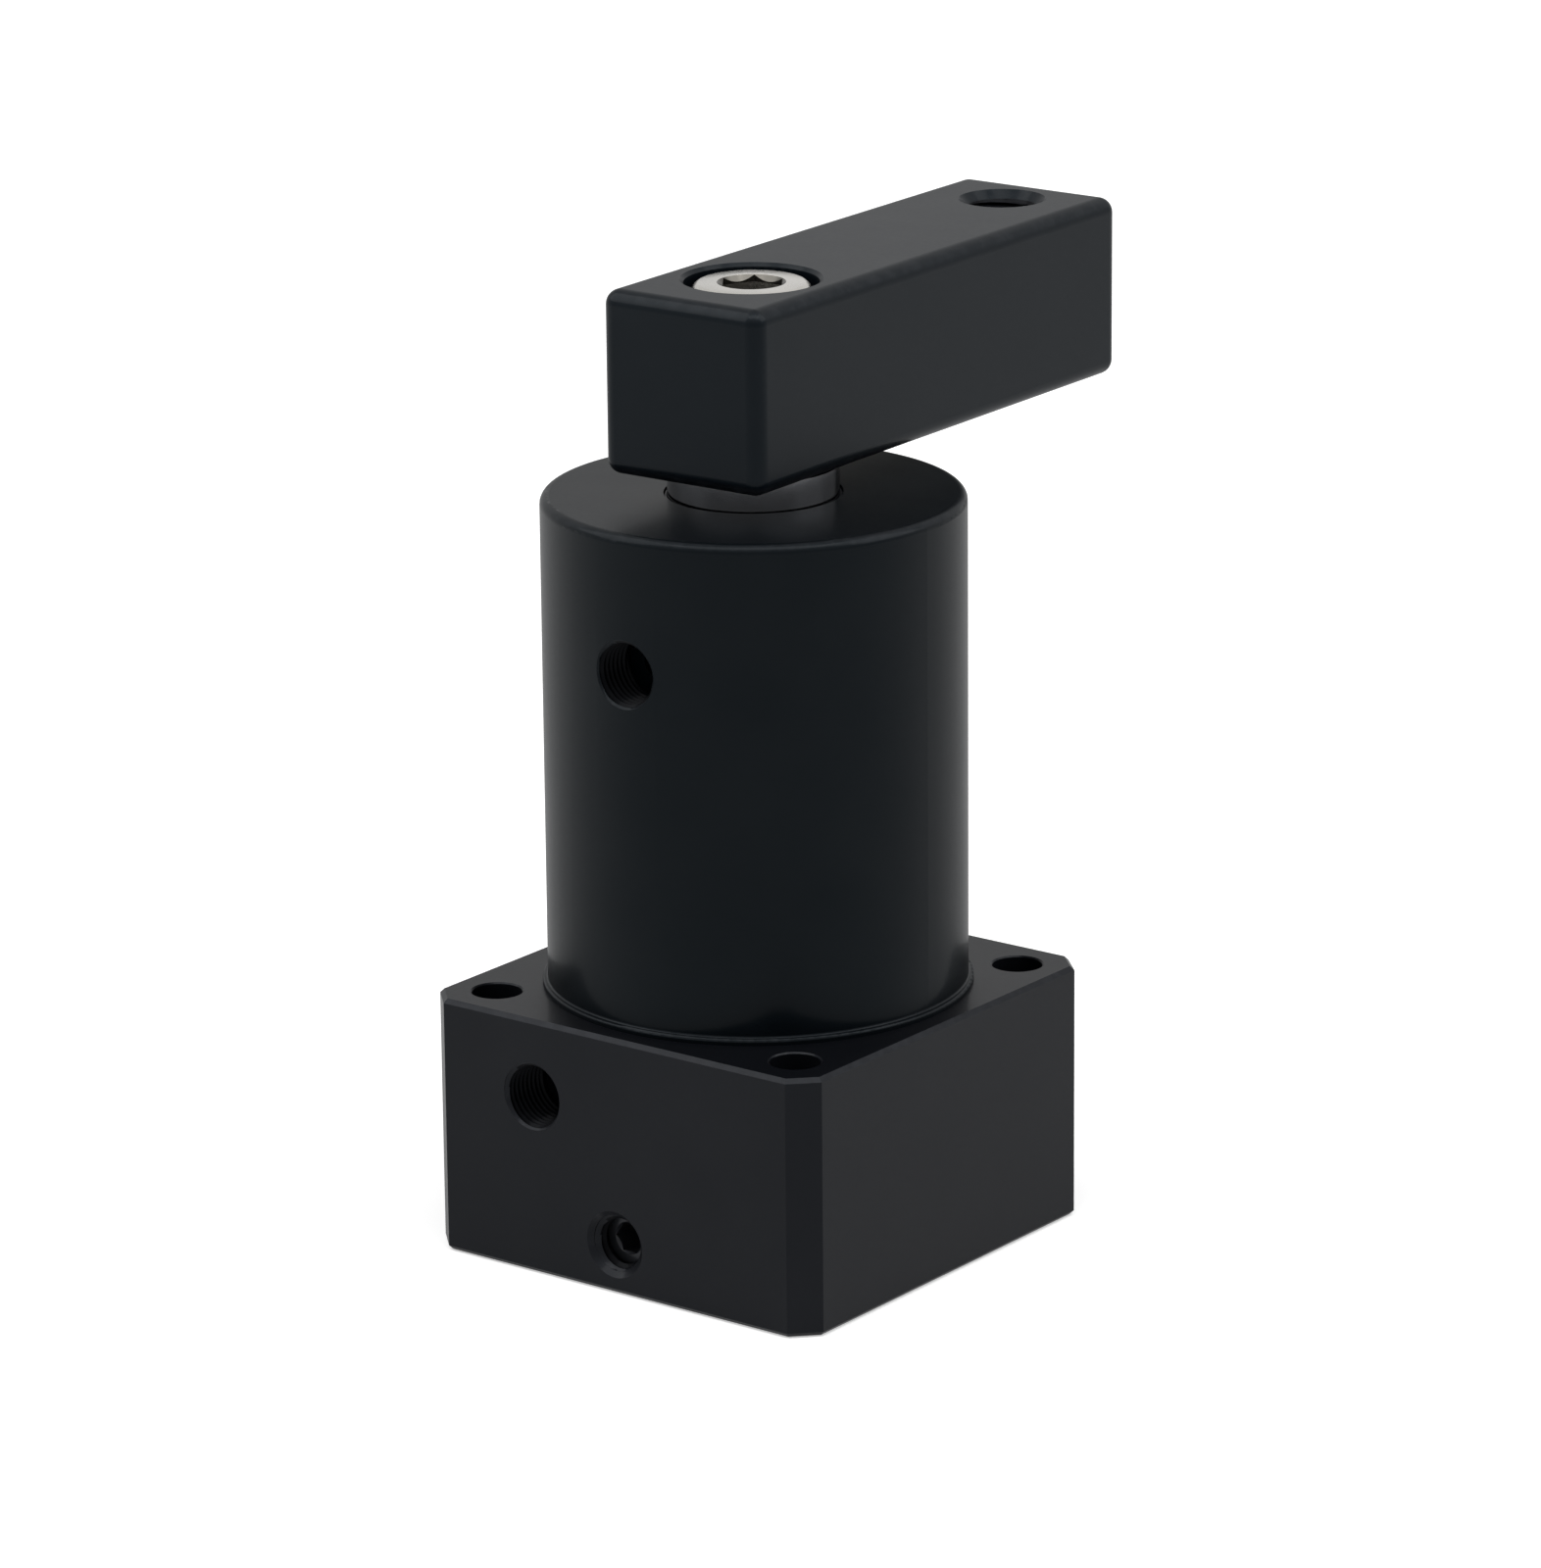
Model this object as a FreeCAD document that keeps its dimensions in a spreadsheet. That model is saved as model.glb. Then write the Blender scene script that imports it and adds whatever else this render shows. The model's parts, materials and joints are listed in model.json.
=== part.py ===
import FreeCAD, Part
import os

import Sketcher
from FreeCAD import Placement, Rotation, Vector

# Double acting hydraulic swing clamp cylinder with a square lower flange.
# The rod axis is the Z axis, and the origin is the centre of the block's mounting face.
# Both oil ports and the lock screw of the guide shaft face -Y. With the rod drawn in,
# as modelled, the clamp arm points to +Y. The rod rises by its stroke and turns with it.

doc = FreeCAD.newDocument("swing_clamp")

# Driving dimensions in millimetres and degrees
DIMENSIONS = {
    # Base block
    "block_width": 65.5,
    "block_height": 36.5,
    "corner_chamfer": 3.5,
    "block_edge_break": 0.6,
    "bolt_inset": 7.15,
    "bolt_hole_diameter": 7.0,
    "bolt_hole_break": 0.2,
    "lower_chamber_depth": 20.0,
    "lower_chamber_relief": 0.5,
    # Barrel
    "barrel_diameter": 58.0,
    "barrel_height": 69.2,
    "cylinder_bore": 40.0,
    "rim_radius": 1.3,
    "foot_step": 0.7,
    "foot_height": 0.85,
    "foot_fillet": 0.3,
    "foot_edge_radius": 0.35,
    "spigot_wall": 4.0,
    "spigot_length": 7.8,
    "spigot_relief_depth": 0.8,
    "spigot_relief_width": 1.2,
    "bore_lead_in_length": 2.0,
    "bore_lead_in_depth": 0.8,
    "nose_wall": 2.2,
    # Oil ports with a G1/8 thread, drawn at its major diameter
    "port_diameter": 9.75,
    "port_drill_diameter": 4.0,
    "lower_port_offset": 13.95,
    "lower_port_drop": 11.05,
    "lower_port_depth": 8.5,
    "upper_port_drop": 19.15,
    "upper_port_floor": 1.8,
    "upper_port_margin": 0.45,
    # Piston rod
    "rod_diameter": 23.4,
    "rod_shoulder": 1.7,
    "rod_end_break": 0.8,
    "taper_step": 0.9,
    "taper_ratio": 0.1,
    "arm_gap": 4.1,
    # Motion
    "stroke": 28.0,
    "swing_angle": 90.0,
    # Piston, its nut and rings
    "piston_entry": 0.65,
    "piston_land": 1.7,
    "guide_ring_width": 4.0,
    "guide_ring_inset": 1.5,
    "guide_ring_thickness": 1.6,
    "guide_ring_slit": 0.8,
    "piston_seal_width": 5.0,
    "piston_seal_thickness": 1.8,
    "piston_loader_thickness": 1.8,
    "inner_seal_drop": 2.8,
    "inner_seal_width": 2.2,
    "inner_seal_thickness": 1.5,
    "nut_wall": 6.0,
    "nut_height": 9.0,
    "nut_slot_width": 4.0,
    "nut_slot_depth": 2.5,
    "nut_edge_break": 0.8,
    "nut_screw_diameter": 4.0,
    "nut_screw_recess": 0.9,
    "nut_screw_angle": 45.0,
    "nut_screw_key": 2.0,
    "nut_screw_key_depth": 1.8,
    # Guide shaft and its pins
    "shaft_diameter": 12.0,
    "guide_groove_depth": 2.0,
    "shaft_end_wall": 3.0,
    "shaft_end_break": 0.6,
    "shaft_foot_diameter": 22.0,
    "shaft_foot_height": 4.0,
    "flange_overhang": 3.0,
    "lock_groove_depth": 1.6,
    "shaft_seal_drop": 1.4,
    "shaft_seal_width": 2.2,
    "shaft_seal_thickness": 1.4,
    "guide_bore_end_gap": 2.5,
    "pin_diameter": 4.0,
    "pin_height": 10.0,
    "pin_end_break": 0.3,
    # Lock screw of the guide shaft
    "lock_screw_diameter": 8.0,
    "lock_screw_height": 7.0,
    "lock_screw_recess": 3.25,
    "lock_screw_key": 4.0,
    "lock_screw_key_depth": 4.0,
    "lock_hole_break": 0.7,
    # Rod bushing, seal and wiper in the barrel head
    "bushing_thickness": 2.0,
    "bushing_inset": 0.55,
    "throat_gap": 0.5,
    "throat_lip": 1.0,
    "wiper_groove_height": 3.6,
    "wiper_groove_depth": 3.3,
    "wiper_lip_thickness": 0.35,
    "head_web": 1.1,
    "head_web_gap": 0.25,
    "rod_seal_height": 4.6,
    "rod_seal_depth": 3.7,
    "rod_seal_notch": 2.4,
    # Joint between the block and the barrel
    "barrel_seal_inset": 0.4,
    "barrel_seal_width": 2.2,
    "barrel_seal_depth": 1.4,
    # Clamp arm and its screw
    "arm_width": 26.0,
    "arm_thickness": 25.4,
    "arm_heel": 16.7,
    "arm_edge_radius": 2.1,
    "arm_lean": 1.5,
    "arm_tip_hole_reach": 60.2,
    "arm_tip_wall": 9.9,
    "arm_tip_hole_diameter": 10.0,
    "arm_tip_hole_break": 1.15,
    "counterbore_clearance": 1.2,
    "counterbore_break": 0.5,
    "arm_screw_diameter": 10.0,
    "arm_screw_hole_clearance": 0.5,
    "arm_screw_web": 3.6,
    "arm_screw_length": 25.0,
    "arm_screw_head_diameter": 16.0,
    "arm_screw_head_height": 10.0,
    "arm_screw_head_break": 0.6,
    "arm_screw_head_recess": 0.5,
    "arm_screw_key": 8.0,
    "arm_screw_key_depth": 5.0,
    "tapped_hole_allowance": 2.5,
    # Clearances
    "running_clearance": 0.05,
    "seal_clearance": 0.03,
    "seat_clearance": 0.02,
    "thread_clearance": 0.05,
    "piston_clearance": 0.2,
    "pin_clearance": 0.1,
    "stop_gap": 0.3,
    "end_gap": 0.1,
}

# Guide pins and the helical grooves that they run in
PIN_COUNT = 3

dims = doc.addObject("Spreadsheet::Sheet", "dims")
for row, (alias, value) in enumerate(DIMENSIONS.items(), start=1):
    dims.set(f"A{row}", alias)
    dims.set(f"B{row}", str(value))
    dims.setAlias(f"B{row}", alias)
doc.recompute()

# Radii, as expressions of the sheet's cells
BORE_RADIUS = "dims.cylinder_bore / 2"
CHAMBER_RADIUS = "(dims.cylinder_bore / 2 + dims.lower_chamber_relief)"
SPIGOT_RADIUS = "(dims.cylinder_bore / 2 + dims.spigot_wall)"
BARREL_RADIUS = "dims.barrel_diameter / 2"
FOOT_RADIUS = "(dims.barrel_diameter / 2 + dims.foot_step)"
ROD_RADIUS = "dims.rod_diameter / 2"
JOURNAL_RADIUS = "(dims.rod_diameter / 2 - dims.rod_shoulder)"
TAPER_RADIUS = "(dims.rod_diameter / 2 - dims.taper_step)"
NUT_RADIUS = f"({JOURNAL_RADIUS} + dims.nut_wall)"
SHAFT_RADIUS = "dims.shaft_diameter / 2"
SHAFT_CORE_RADIUS = "(dims.shaft_diameter / 2 - dims.guide_groove_depth)"
SHAFT_FOOT_RADIUS = "dims.shaft_foot_diameter / 2"
LOCK_TIP_RADIUS = f"({SHAFT_FOOT_RADIUS} - dims.lock_groove_depth + dims.end_gap)"
SCREW_HEAD_RADIUS = "dims.arm_screw_head_diameter / 2"
HALF_BLOCK = "dims.block_width / 2"

# Levels above the mounting face, from the block up
BLOCK_TOP = "dims.block_height"
CHAMBER_FLOOR = "(dims.block_height - dims.lower_chamber_depth)"
LOWER_PORT_LEVEL = "(dims.block_height - dims.lower_port_drop)"
SPIGOT_END = "(dims.block_height - dims.spigot_length)"
PISTON_BOTTOM = f"({SPIGOT_END} + dims.piston_entry)"
LOWER_RING_START = f"({PISTON_BOTTOM} + dims.guide_ring_inset)"
LOWER_RING_END = f"({LOWER_RING_START} + dims.guide_ring_width + 2 * dims.end_gap)"
SEAL_START = f"({LOWER_RING_END} + dims.piston_land)"
SEAL_END = f"({SEAL_START} + dims.piston_seal_width + 2 * dims.end_gap)"
UPPER_RING_START = f"({SEAL_END} + dims.piston_land)"
UPPER_RING_END = f"({UPPER_RING_START} + dims.guide_ring_width + 2 * dims.end_gap)"
PISTON_TOP = f"({UPPER_RING_END} + dims.guide_ring_inset)"
INNER_SEAL_END = f"({PISTON_TOP} - dims.inner_seal_drop)"
INNER_SEAL_START = f"({INNER_SEAL_END} - dims.inner_seal_width)"
NUT_TOP = f"({PISTON_BOTTOM} - dims.running_clearance)"
NUT_BOTTOM = f"({NUT_TOP} - dims.nut_height)"
FLANGE_TOP = f"({NUT_BOTTOM} - dims.stop_gap)"
ROD_SHOULDER = f"({PISTON_TOP} + dims.running_clearance)"
PIN_LEVEL = f"({PISTON_BOTTOM} + dims.pin_height)"
PIN_TOP_LEVEL = f"({PIN_LEVEL} + dims.stroke)"
SHAFT_TOP = f"({PIN_TOP_LEVEL} + dims.pin_diameter / 2 + dims.shaft_end_wall)"

# Levels hung from the barrel's top
BARREL_TOP = "(dims.block_height + dims.barrel_height)"
UPPER_PORT_LEVEL = f"({BARREL_TOP} - dims.upper_port_drop)"
CHAMBER_TOP = f"({UPPER_PORT_LEVEL} + dims.port_drill_diameter / 2 + dims.upper_port_margin)"
NOSE_BOTTOM = f"({PISTON_TOP} + dims.stroke + dims.stop_gap)"
WIPER_GROOVE_TOP = f"({BARREL_TOP} - dims.throat_lip)"
WIPER_GROOVE_BOTTOM = f"({WIPER_GROOVE_TOP} - dims.wiper_groove_height)"
SEAL_GROOVE_TOP = f"({WIPER_GROOVE_BOTTOM} - dims.head_web)"
SEAL_GROOVE_BOTTOM = f"({SEAL_GROOVE_TOP} - dims.rod_seal_height)"
BUSHING_TOP = f"({SEAL_GROOVE_BOTTOM} - dims.head_web)"

# Levels of the arm, and the reach of its tip
ARM_BOTTOM = f"({BARREL_TOP} + dims.arm_gap)"
ARM_TOP = f"({ARM_BOTTOM} + dims.arm_thickness)"
SCREW_HEAD_TOP = f"({ARM_TOP} - dims.arm_screw_head_recess)"
SCREW_SEAT = f"({SCREW_HEAD_TOP} - dims.arm_screw_head_height)"
ARM_SEAT_TOP = f"({SCREW_SEAT} - dims.arm_screw_web)"
ROD_TOP = f"({ARM_SEAT_TOP} - dims.stop_gap)"
ARM_REACH = "(dims.arm_tip_hole_reach + dims.arm_tip_wall)"


def value_of(expression):
    """Present value of an expression of the sheet's cells."""
    return float(dims.evalExpression(expression))


def new_body(label):
    """Empty body with the label that names its file."""
    body = doc.addObject("PartDesign::Body", label)
    body.Label = label
    return body


def origin_feature(body, role):
    """Plane or axis of the body's own origin."""
    return next(item for item in body.Origin.OriginFeatures if item.Role == role)


def new_sketch(body, name, role, offset="0", spoke=None):
    """Sketch on one of the body's origin planes, moved along its normal by the offset.

    A spoke angle first turns the YZ plane about the Z axis, away from +X.
    """
    sketch = body.newObject("Sketcher::SketchObject", name)
    sketch.AttachmentSupport = [(origin_feature(body, role), "")]
    sketch.MapMode = "FlatFace"
    if spoke is None:
        sketch.setExpression("AttachmentOffset.Base.z", offset)
    else:
        sketch.AttachmentOffset = Placement(Vector(), Rotation(Vector(0, 1, 0), 1))
        sketch.setExpression("AttachmentOffset.Rotation.Angle", spoke)
        sketch.setExpression("AttachmentOffset.Base.x", f"({offset}) * sin({spoke})")
        sketch.setExpression("AttachmentOffset.Base.z", f"({offset}) * cos({spoke})")
    doc.recompute()
    return sketch


def draw_outline(sketch, corners):
    """Closed outline of straight edges whose corners stand at pairs of expressions."""
    places = [Vector(value_of(across), value_of(along), 0) for across, along in corners]
    for start, end in zip(places, places[1:] + places[:1]):
        sketch.addGeometry(Part.LineSegment(start, end), False)
    for index, (across, along) in enumerate(corners):
        after = (index + 1) % len(corners)
        sketch.addConstraint(Sketcher.Constraint("Coincident", index, 2, after, 1))
        place_coordinate(sketch, index, "DistanceX", -2, across)
        place_coordinate(sketch, index, "DistanceY", -1, along)


def place_coordinate(sketch, index, kind, axis, expression):
    """Ties one coordinate of an outline's corner to an expression, or to an axis for zero."""
    if expression == "0":
        sketch.addConstraint(Sketcher.Constraint("PointOnObject", index, 1, axis))
        return
    tie = sketch.addConstraint(Sketcher.Constraint(kind, index, 1, value_of(expression)))
    sketch.setExpression(f"Constraints[{tie}]", expression)


def draw_circle(sketch, centre, radius):
    """Circle whose centre and radius are expressions."""
    place = Vector(value_of(centre[0]), value_of(centre[1]), 0)
    circle = sketch.addGeometry(Part.Circle(place, Vector(0, 0, 1), value_of(radius)), False)
    size = sketch.addConstraint(Sketcher.Constraint("Radius", circle, value_of(radius)))
    sketch.setExpression(f"Constraints[{size}]", radius)
    for kind, axis, expression in (("DistanceX", -2, centre[0]), ("DistanceY", -1, centre[1])):
        if expression == "0":
            sketch.addConstraint(Sketcher.Constraint("PointOnObject", circle, 3, axis))
        else:
            tie = sketch.addConstraint(Sketcher.Constraint(kind, circle, 3, value_of(expression)))
            sketch.setExpression(f"Constraints[{tie}]", expression)


def turned(label, section):
    """Body turned about the Z axis from a half section of (radius, height) corners."""
    body = new_body(label)
    sketch = new_sketch(body, f"{label}_section", "XZ_Plane")
    draw_outline(sketch, section)
    turning = body.newObject("PartDesign::Revolution", f"{label}_turning")
    turning.Profile = sketch
    turning.ReferenceAxis = (sketch, ["V_Axis"])
    turning.Angle = 360
    doc.recompute()
    return body


def padded(body, name, corners, height, offset="0"):
    """Prism on the XY plane from an outline."""
    sketch = new_sketch(body, f"{name}_outline", "XY_Plane", offset)
    draw_outline(sketch, corners)
    pad = body.newObject("PartDesign::Pad", name)
    pad.Profile = sketch
    pad.setExpression("Length", height)
    doc.recompute()
    return pad


def bored(body, name, stations, centre="0", role="XZ_Plane", offset="0", level=False):
    """Cuts a round hole from (radius, distance) stations along its axis.

    The axis lies in the sketch's plane, through centre: upright, or along the plane's
    first direction where level is set.
    """
    ends = [("0", stations[0][1])] + list(stations) + [("0", stations[-1][1])]
    corners = []
    for radius, distance in ends:
        if radius == "0":
            across = centre
        elif centre == "0":
            across = radius
        else:
            across = f"{centre} + {radius}"
        corners.append((distance, across) if level else (across, distance))
    sketch = new_sketch(body, f"{name}_section", role, offset)
    draw_outline(sketch, corners)
    last = len(corners) - 1
    axis = Part.LineSegment(sketch.Geometry[0].StartPoint, sketch.Geometry[last].StartPoint)
    line = sketch.addGeometry(axis, True)
    sketch.addConstraint(Sketcher.Constraint("Coincident", line, 1, 0, 1))
    sketch.addConstraint(Sketcher.Constraint("Coincident", line, 2, last, 1))
    before = body.Shape.Volume
    groove = body.newObject("PartDesign::Groove", name)
    groove.Profile = sketch
    groove.ReferenceAxis = (sketch, ["Axis0"])
    groove.Angle = 360
    check_cut(body, name, before)
    return groove


def pocketed(body, name, sketch, depth, reverse=False):
    """Pocket of the sketch's outline to a depth, checked for having cut something."""
    before = body.Shape.Volume
    pocket = body.newObject("PartDesign::Pocket", name)
    pocket.Profile = sketch
    pocket.Reversed = reverse
    pocket.setExpression("Length", depth)
    check_cut(body, name, before)
    return pocket


def check_cut(body, name, before):
    """Stops the build if a cut took nothing away."""
    doc.recompute()
    if not body.Shape.Volume < before:
        raise RuntimeError(f"{name} cuts nothing")


def patterned(body, name, features, count):
    """Repeats features evenly round the Z axis."""
    before = body.Shape.Volume
    pattern = body.newObject("PartDesign::PolarPattern", name)
    pattern.Originals = features
    pattern.Axis = (origin_feature(body, "Z_Axis"), [""])
    pattern.Angle = 360
    pattern.Occurrences = count
    body.Tip = pattern
    check_cut(body, name, before)
    return pattern


def dressed(body, name, kind, size, wanted):
    """Fillet or chamfer on the edges of the body that the test picks."""
    base = body.Tip
    edges = [f"Edge{number}" for number, edge in enumerate(base.Shape.Edges, start=1) if wanted(edge)]
    if not edges:
        raise RuntimeError(f"{name} finds no edge")
    feature = body.newObject(kind, name)
    feature.Base = (base, edges)
    feature.setExpression("Radius" if kind == "PartDesign::Fillet" else "Size", size)
    doc.recompute()
    return feature


def hexagon(key):
    """Corners of a hexagon from its width across flats."""
    point = f"{key} / sqrt(3)"
    half_point = f"{key} / sqrt(12)"
    flat = f"{key} / 2"
    return [
        (point, "0"),
        (half_point, flat),
        (f"-{half_point}", flat),
        (f"-{point}", "0"),
        (f"-{half_point}", f"-{flat}"),
        (half_point, f"-{flat}"),
    ]


def key_socket(body, top, key, depth):
    """Hexagon socket sunk into the upper end of a screw."""
    sketch = new_sketch(body, f"{body.Label}_key_outline", "XY_Plane", top)
    draw_outline(sketch, hexagon(key))
    return pocketed(body, f"{body.Label}_key", sketch, depth)


def is_level_circle(edge, radius, height):
    """True for a circle of the given radius at the given height."""
    curve = edge.Curve
    if not isinstance(curve, Part.Circle):
        return False
    return abs(curve.Radius - radius) < 0.001 and abs(curve.Center.z - height) < 0.001


def make_base_block():
    """Square block with the lower oil chamber, the barrel's seat and the guide shaft's seat."""
    far = HALF_BLOCK
    near = "(dims.block_width / 2 - dims.corner_chamfer)"
    body = new_body("base_block")
    padded(body, "block_blank", [
        (far, f"-{near}"), (far, near), (near, far), (f"-{near}", far),
        (f"-{far}", near), (f"-{far}", f"-{near}"), (f"-{near}", f"-{far}"), (near, f"-{far}"),
    ], BLOCK_TOP)

    def is_rim(edge):
        return edge.BoundBox.ZLength < 0.001
    dressed(body, "block_edges", "PartDesign::Chamfer", "dims.block_edge_break", is_rim)

    seat_radius = f"({SPIGOT_RADIUS} + dims.thread_clearance)"
    seat_floor = f"({SPIGOT_END} - dims.running_clearance)"
    groove_outside = f"({SPIGOT_RADIUS} - dims.barrel_seal_inset)"
    groove_inside = f"({groove_outside} - dims.barrel_seal_width)"
    groove_floor = f"({seat_floor} - dims.barrel_seal_depth)"
    foot_radius = f"({SHAFT_FOOT_RADIUS} + dims.seat_clearance)"
    bored(body, "barrel_seat", [
        (seat_radius, BLOCK_TOP),
        (seat_radius, seat_floor),
        (groove_outside, seat_floor),
        (groove_outside, groove_floor),
        (groove_inside, groove_floor),
        (groove_inside, seat_floor),
        (CHAMBER_RADIUS, seat_floor),
        (CHAMBER_RADIUS, CHAMBER_FLOOR),
        (foot_radius, CHAMBER_FLOOR),
        (foot_radius, "(dims.shaft_foot_height - dims.stop_gap)"),
    ])

    hole = "dims.bolt_hole_diameter / 2"
    mouth = "(dims.bolt_hole_diameter / 2 + dims.bolt_hole_break)"
    bolt_hole = bored(body, "bolt_hole", [
        (mouth, BLOCK_TOP),
        (hole, f"{BLOCK_TOP} - dims.bolt_hole_break"),
        (hole, "dims.bolt_hole_break"),
        (mouth, "0"),
    ], centre=f"({HALF_BLOCK} - dims.bolt_inset)", offset=f"(dims.bolt_inset - {HALF_BLOCK})")
    patterned(body, "bolt_holes", [bolt_hole], 4)

    port = "dims.port_diameter / 2"
    port_floor = f"(dims.lower_port_depth - {HALF_BLOCK})"
    bored(body, "lower_port", [
        (port, f"-{HALF_BLOCK}"),
        (port, port_floor),
        ("dims.port_drill_diameter / 2", port_floor),
        ("dims.port_drill_diameter / 2", f"-{CHAMBER_RADIUS} / 2"),
    ], centre=LOWER_PORT_LEVEL, role="YZ_Plane", offset="-dims.lower_port_offset", level=True)

    lock = "(dims.lock_screw_diameter / 2 + dims.thread_clearance)"
    bored(body, "lock_screw_hole", [
        (f"({lock} + dims.lock_hole_break)", f"-{HALF_BLOCK}"),
        (lock, f"dims.lock_hole_break - {HALF_BLOCK}"),
        (lock, f"-{LOCK_TIP_RADIUS}"),
    ], centre="dims.lock_screw_height", role="YZ_Plane", level=True)
    return body


def make_barrel():
    """Cup turned from bar: closed head above, spigot below, foot ring on the block."""
    foot_top = f"({BLOCK_TOP} + dims.foot_height)"
    relief = f"({SPIGOT_RADIUS} - dims.spigot_relief_depth)"
    relief_bottom = f"({BLOCK_TOP} - dims.spigot_relief_width)"
    lead_in = f"({BORE_RADIUS} + dims.bore_lead_in_depth)"
    bushing_outside = f"{ROD_RADIUS} + dims.running_clearance + dims.bushing_thickness"
    bushing_seat = f"({bushing_outside} + dims.seat_clearance)"
    nose = f"({bushing_seat} + dims.nose_wall)"
    web = f"({ROD_RADIUS} + dims.head_web_gap)"
    throat = f"({ROD_RADIUS} + dims.throat_gap)"
    seal_groove = f"({ROD_RADIUS} + dims.rod_seal_depth)"
    wiper_groove = f"({ROD_RADIUS} + dims.wiper_groove_depth)"
    body = turned("barrel", [
        (throat, BARREL_TOP),
        (BARREL_RADIUS, BARREL_TOP),
        (BARREL_RADIUS, foot_top),
        (FOOT_RADIUS, foot_top),
        (FOOT_RADIUS, BLOCK_TOP),
        (relief, BLOCK_TOP),
        (relief, relief_bottom),
        (SPIGOT_RADIUS, relief_bottom),
        (SPIGOT_RADIUS, SPIGOT_END),
        (lead_in, SPIGOT_END),
        (BORE_RADIUS, f"{SPIGOT_END} + dims.bore_lead_in_length"),
        (BORE_RADIUS, CHAMBER_TOP),
        (nose, CHAMBER_TOP),
        (nose, NOSE_BOTTOM),
        (bushing_seat, NOSE_BOTTOM),
        (bushing_seat, BUSHING_TOP),
        (web, BUSHING_TOP),
        (web, SEAL_GROOVE_BOTTOM),
        (seal_groove, SEAL_GROOVE_BOTTOM),
        (seal_groove, SEAL_GROOVE_TOP),
        (web, SEAL_GROOVE_TOP),
        (web, WIPER_GROOVE_BOTTOM),
        (wiper_groove, WIPER_GROOVE_BOTTOM),
        (wiper_groove, WIPER_GROOVE_TOP),
        (throat, WIPER_GROOVE_TOP),
    ])

    def is_rim(edge):
        return is_level_circle(edge, value_of(BARREL_RADIUS), value_of(BARREL_TOP))
    dressed(body, "barrel_rim", "PartDesign::Fillet", "dims.rim_radius", is_rim)

    def is_foot_corner(edge):
        return is_level_circle(edge, value_of(BARREL_RADIUS), value_of(foot_top))
    foot_fillet = "min(dims.foot_fillet; dims.foot_step * 0.48)"
    dressed(body, "barrel_foot", "PartDesign::Fillet", foot_fillet, is_foot_corner)

    def is_foot_edge(edge):
        return is_level_circle(edge, value_of(FOOT_RADIUS), value_of(foot_top))
    foot_rounding = "min(dims.foot_edge_radius; dims.foot_step * 0.5; dims.foot_height * 0.9)"
    dressed(body, "foot_edge", "PartDesign::Fillet", foot_rounding, is_foot_edge)

    port = "dims.port_diameter / 2"
    port_floor = f"-({BORE_RADIUS} + dims.upper_port_floor)"
    bored(body, "upper_port", [
        (port, f"-{BARREL_RADIUS}"),
        (port, port_floor),
        ("dims.port_drill_diameter / 2", port_floor),
        ("dims.port_drill_diameter / 2", f"-{BORE_RADIUS} * 0.9"),
    ], centre=UPPER_PORT_LEVEL, role="YZ_Plane", level=True)
    return body


def make_ring(label, inside, outside, bottom, top, rounding):
    """Seal ring of rectangular section with rounded or broken edges."""
    body = turned(label, [(inside, bottom), (outside, bottom), (outside, top), (inside, top)])
    dressed(body, f"{label}_edges", "PartDesign::Fillet", rounding,
            lambda edge: isinstance(edge.Curve, Part.Circle))
    return body


def make_housing_seals():
    """O-rings squeezed in their grooves in the block and on the guide shaft's foot."""
    outside = f"({SPIGOT_RADIUS} - dims.barrel_seal_inset - dims.seal_clearance)"
    inside = f"({outside} - dims.barrel_seal_width + 2 * dims.seal_clearance)"
    bottom = f"({SPIGOT_END} - dims.running_clearance - dims.barrel_seal_depth + dims.seal_clearance)"
    top = f"({SPIGOT_END} - dims.seal_clearance)"
    rounding = "dims.barrel_seal_depth * 0.45"
    make_ring("barrel_seal", inside, outside, bottom, top, rounding)

    outside = SHAFT_FOOT_RADIUS
    inside = f"({outside} - dims.shaft_seal_thickness + dims.seal_clearance)"
    top = f"({CHAMBER_FLOOR} - dims.shaft_seal_drop - dims.seal_clearance)"
    bottom = f"({top} - dims.shaft_seal_width + 2 * dims.seal_clearance)"
    rounding = "dims.shaft_seal_thickness * 0.45"
    make_ring("guide_shaft_seal", inside, outside, bottom, top, rounding)


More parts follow.
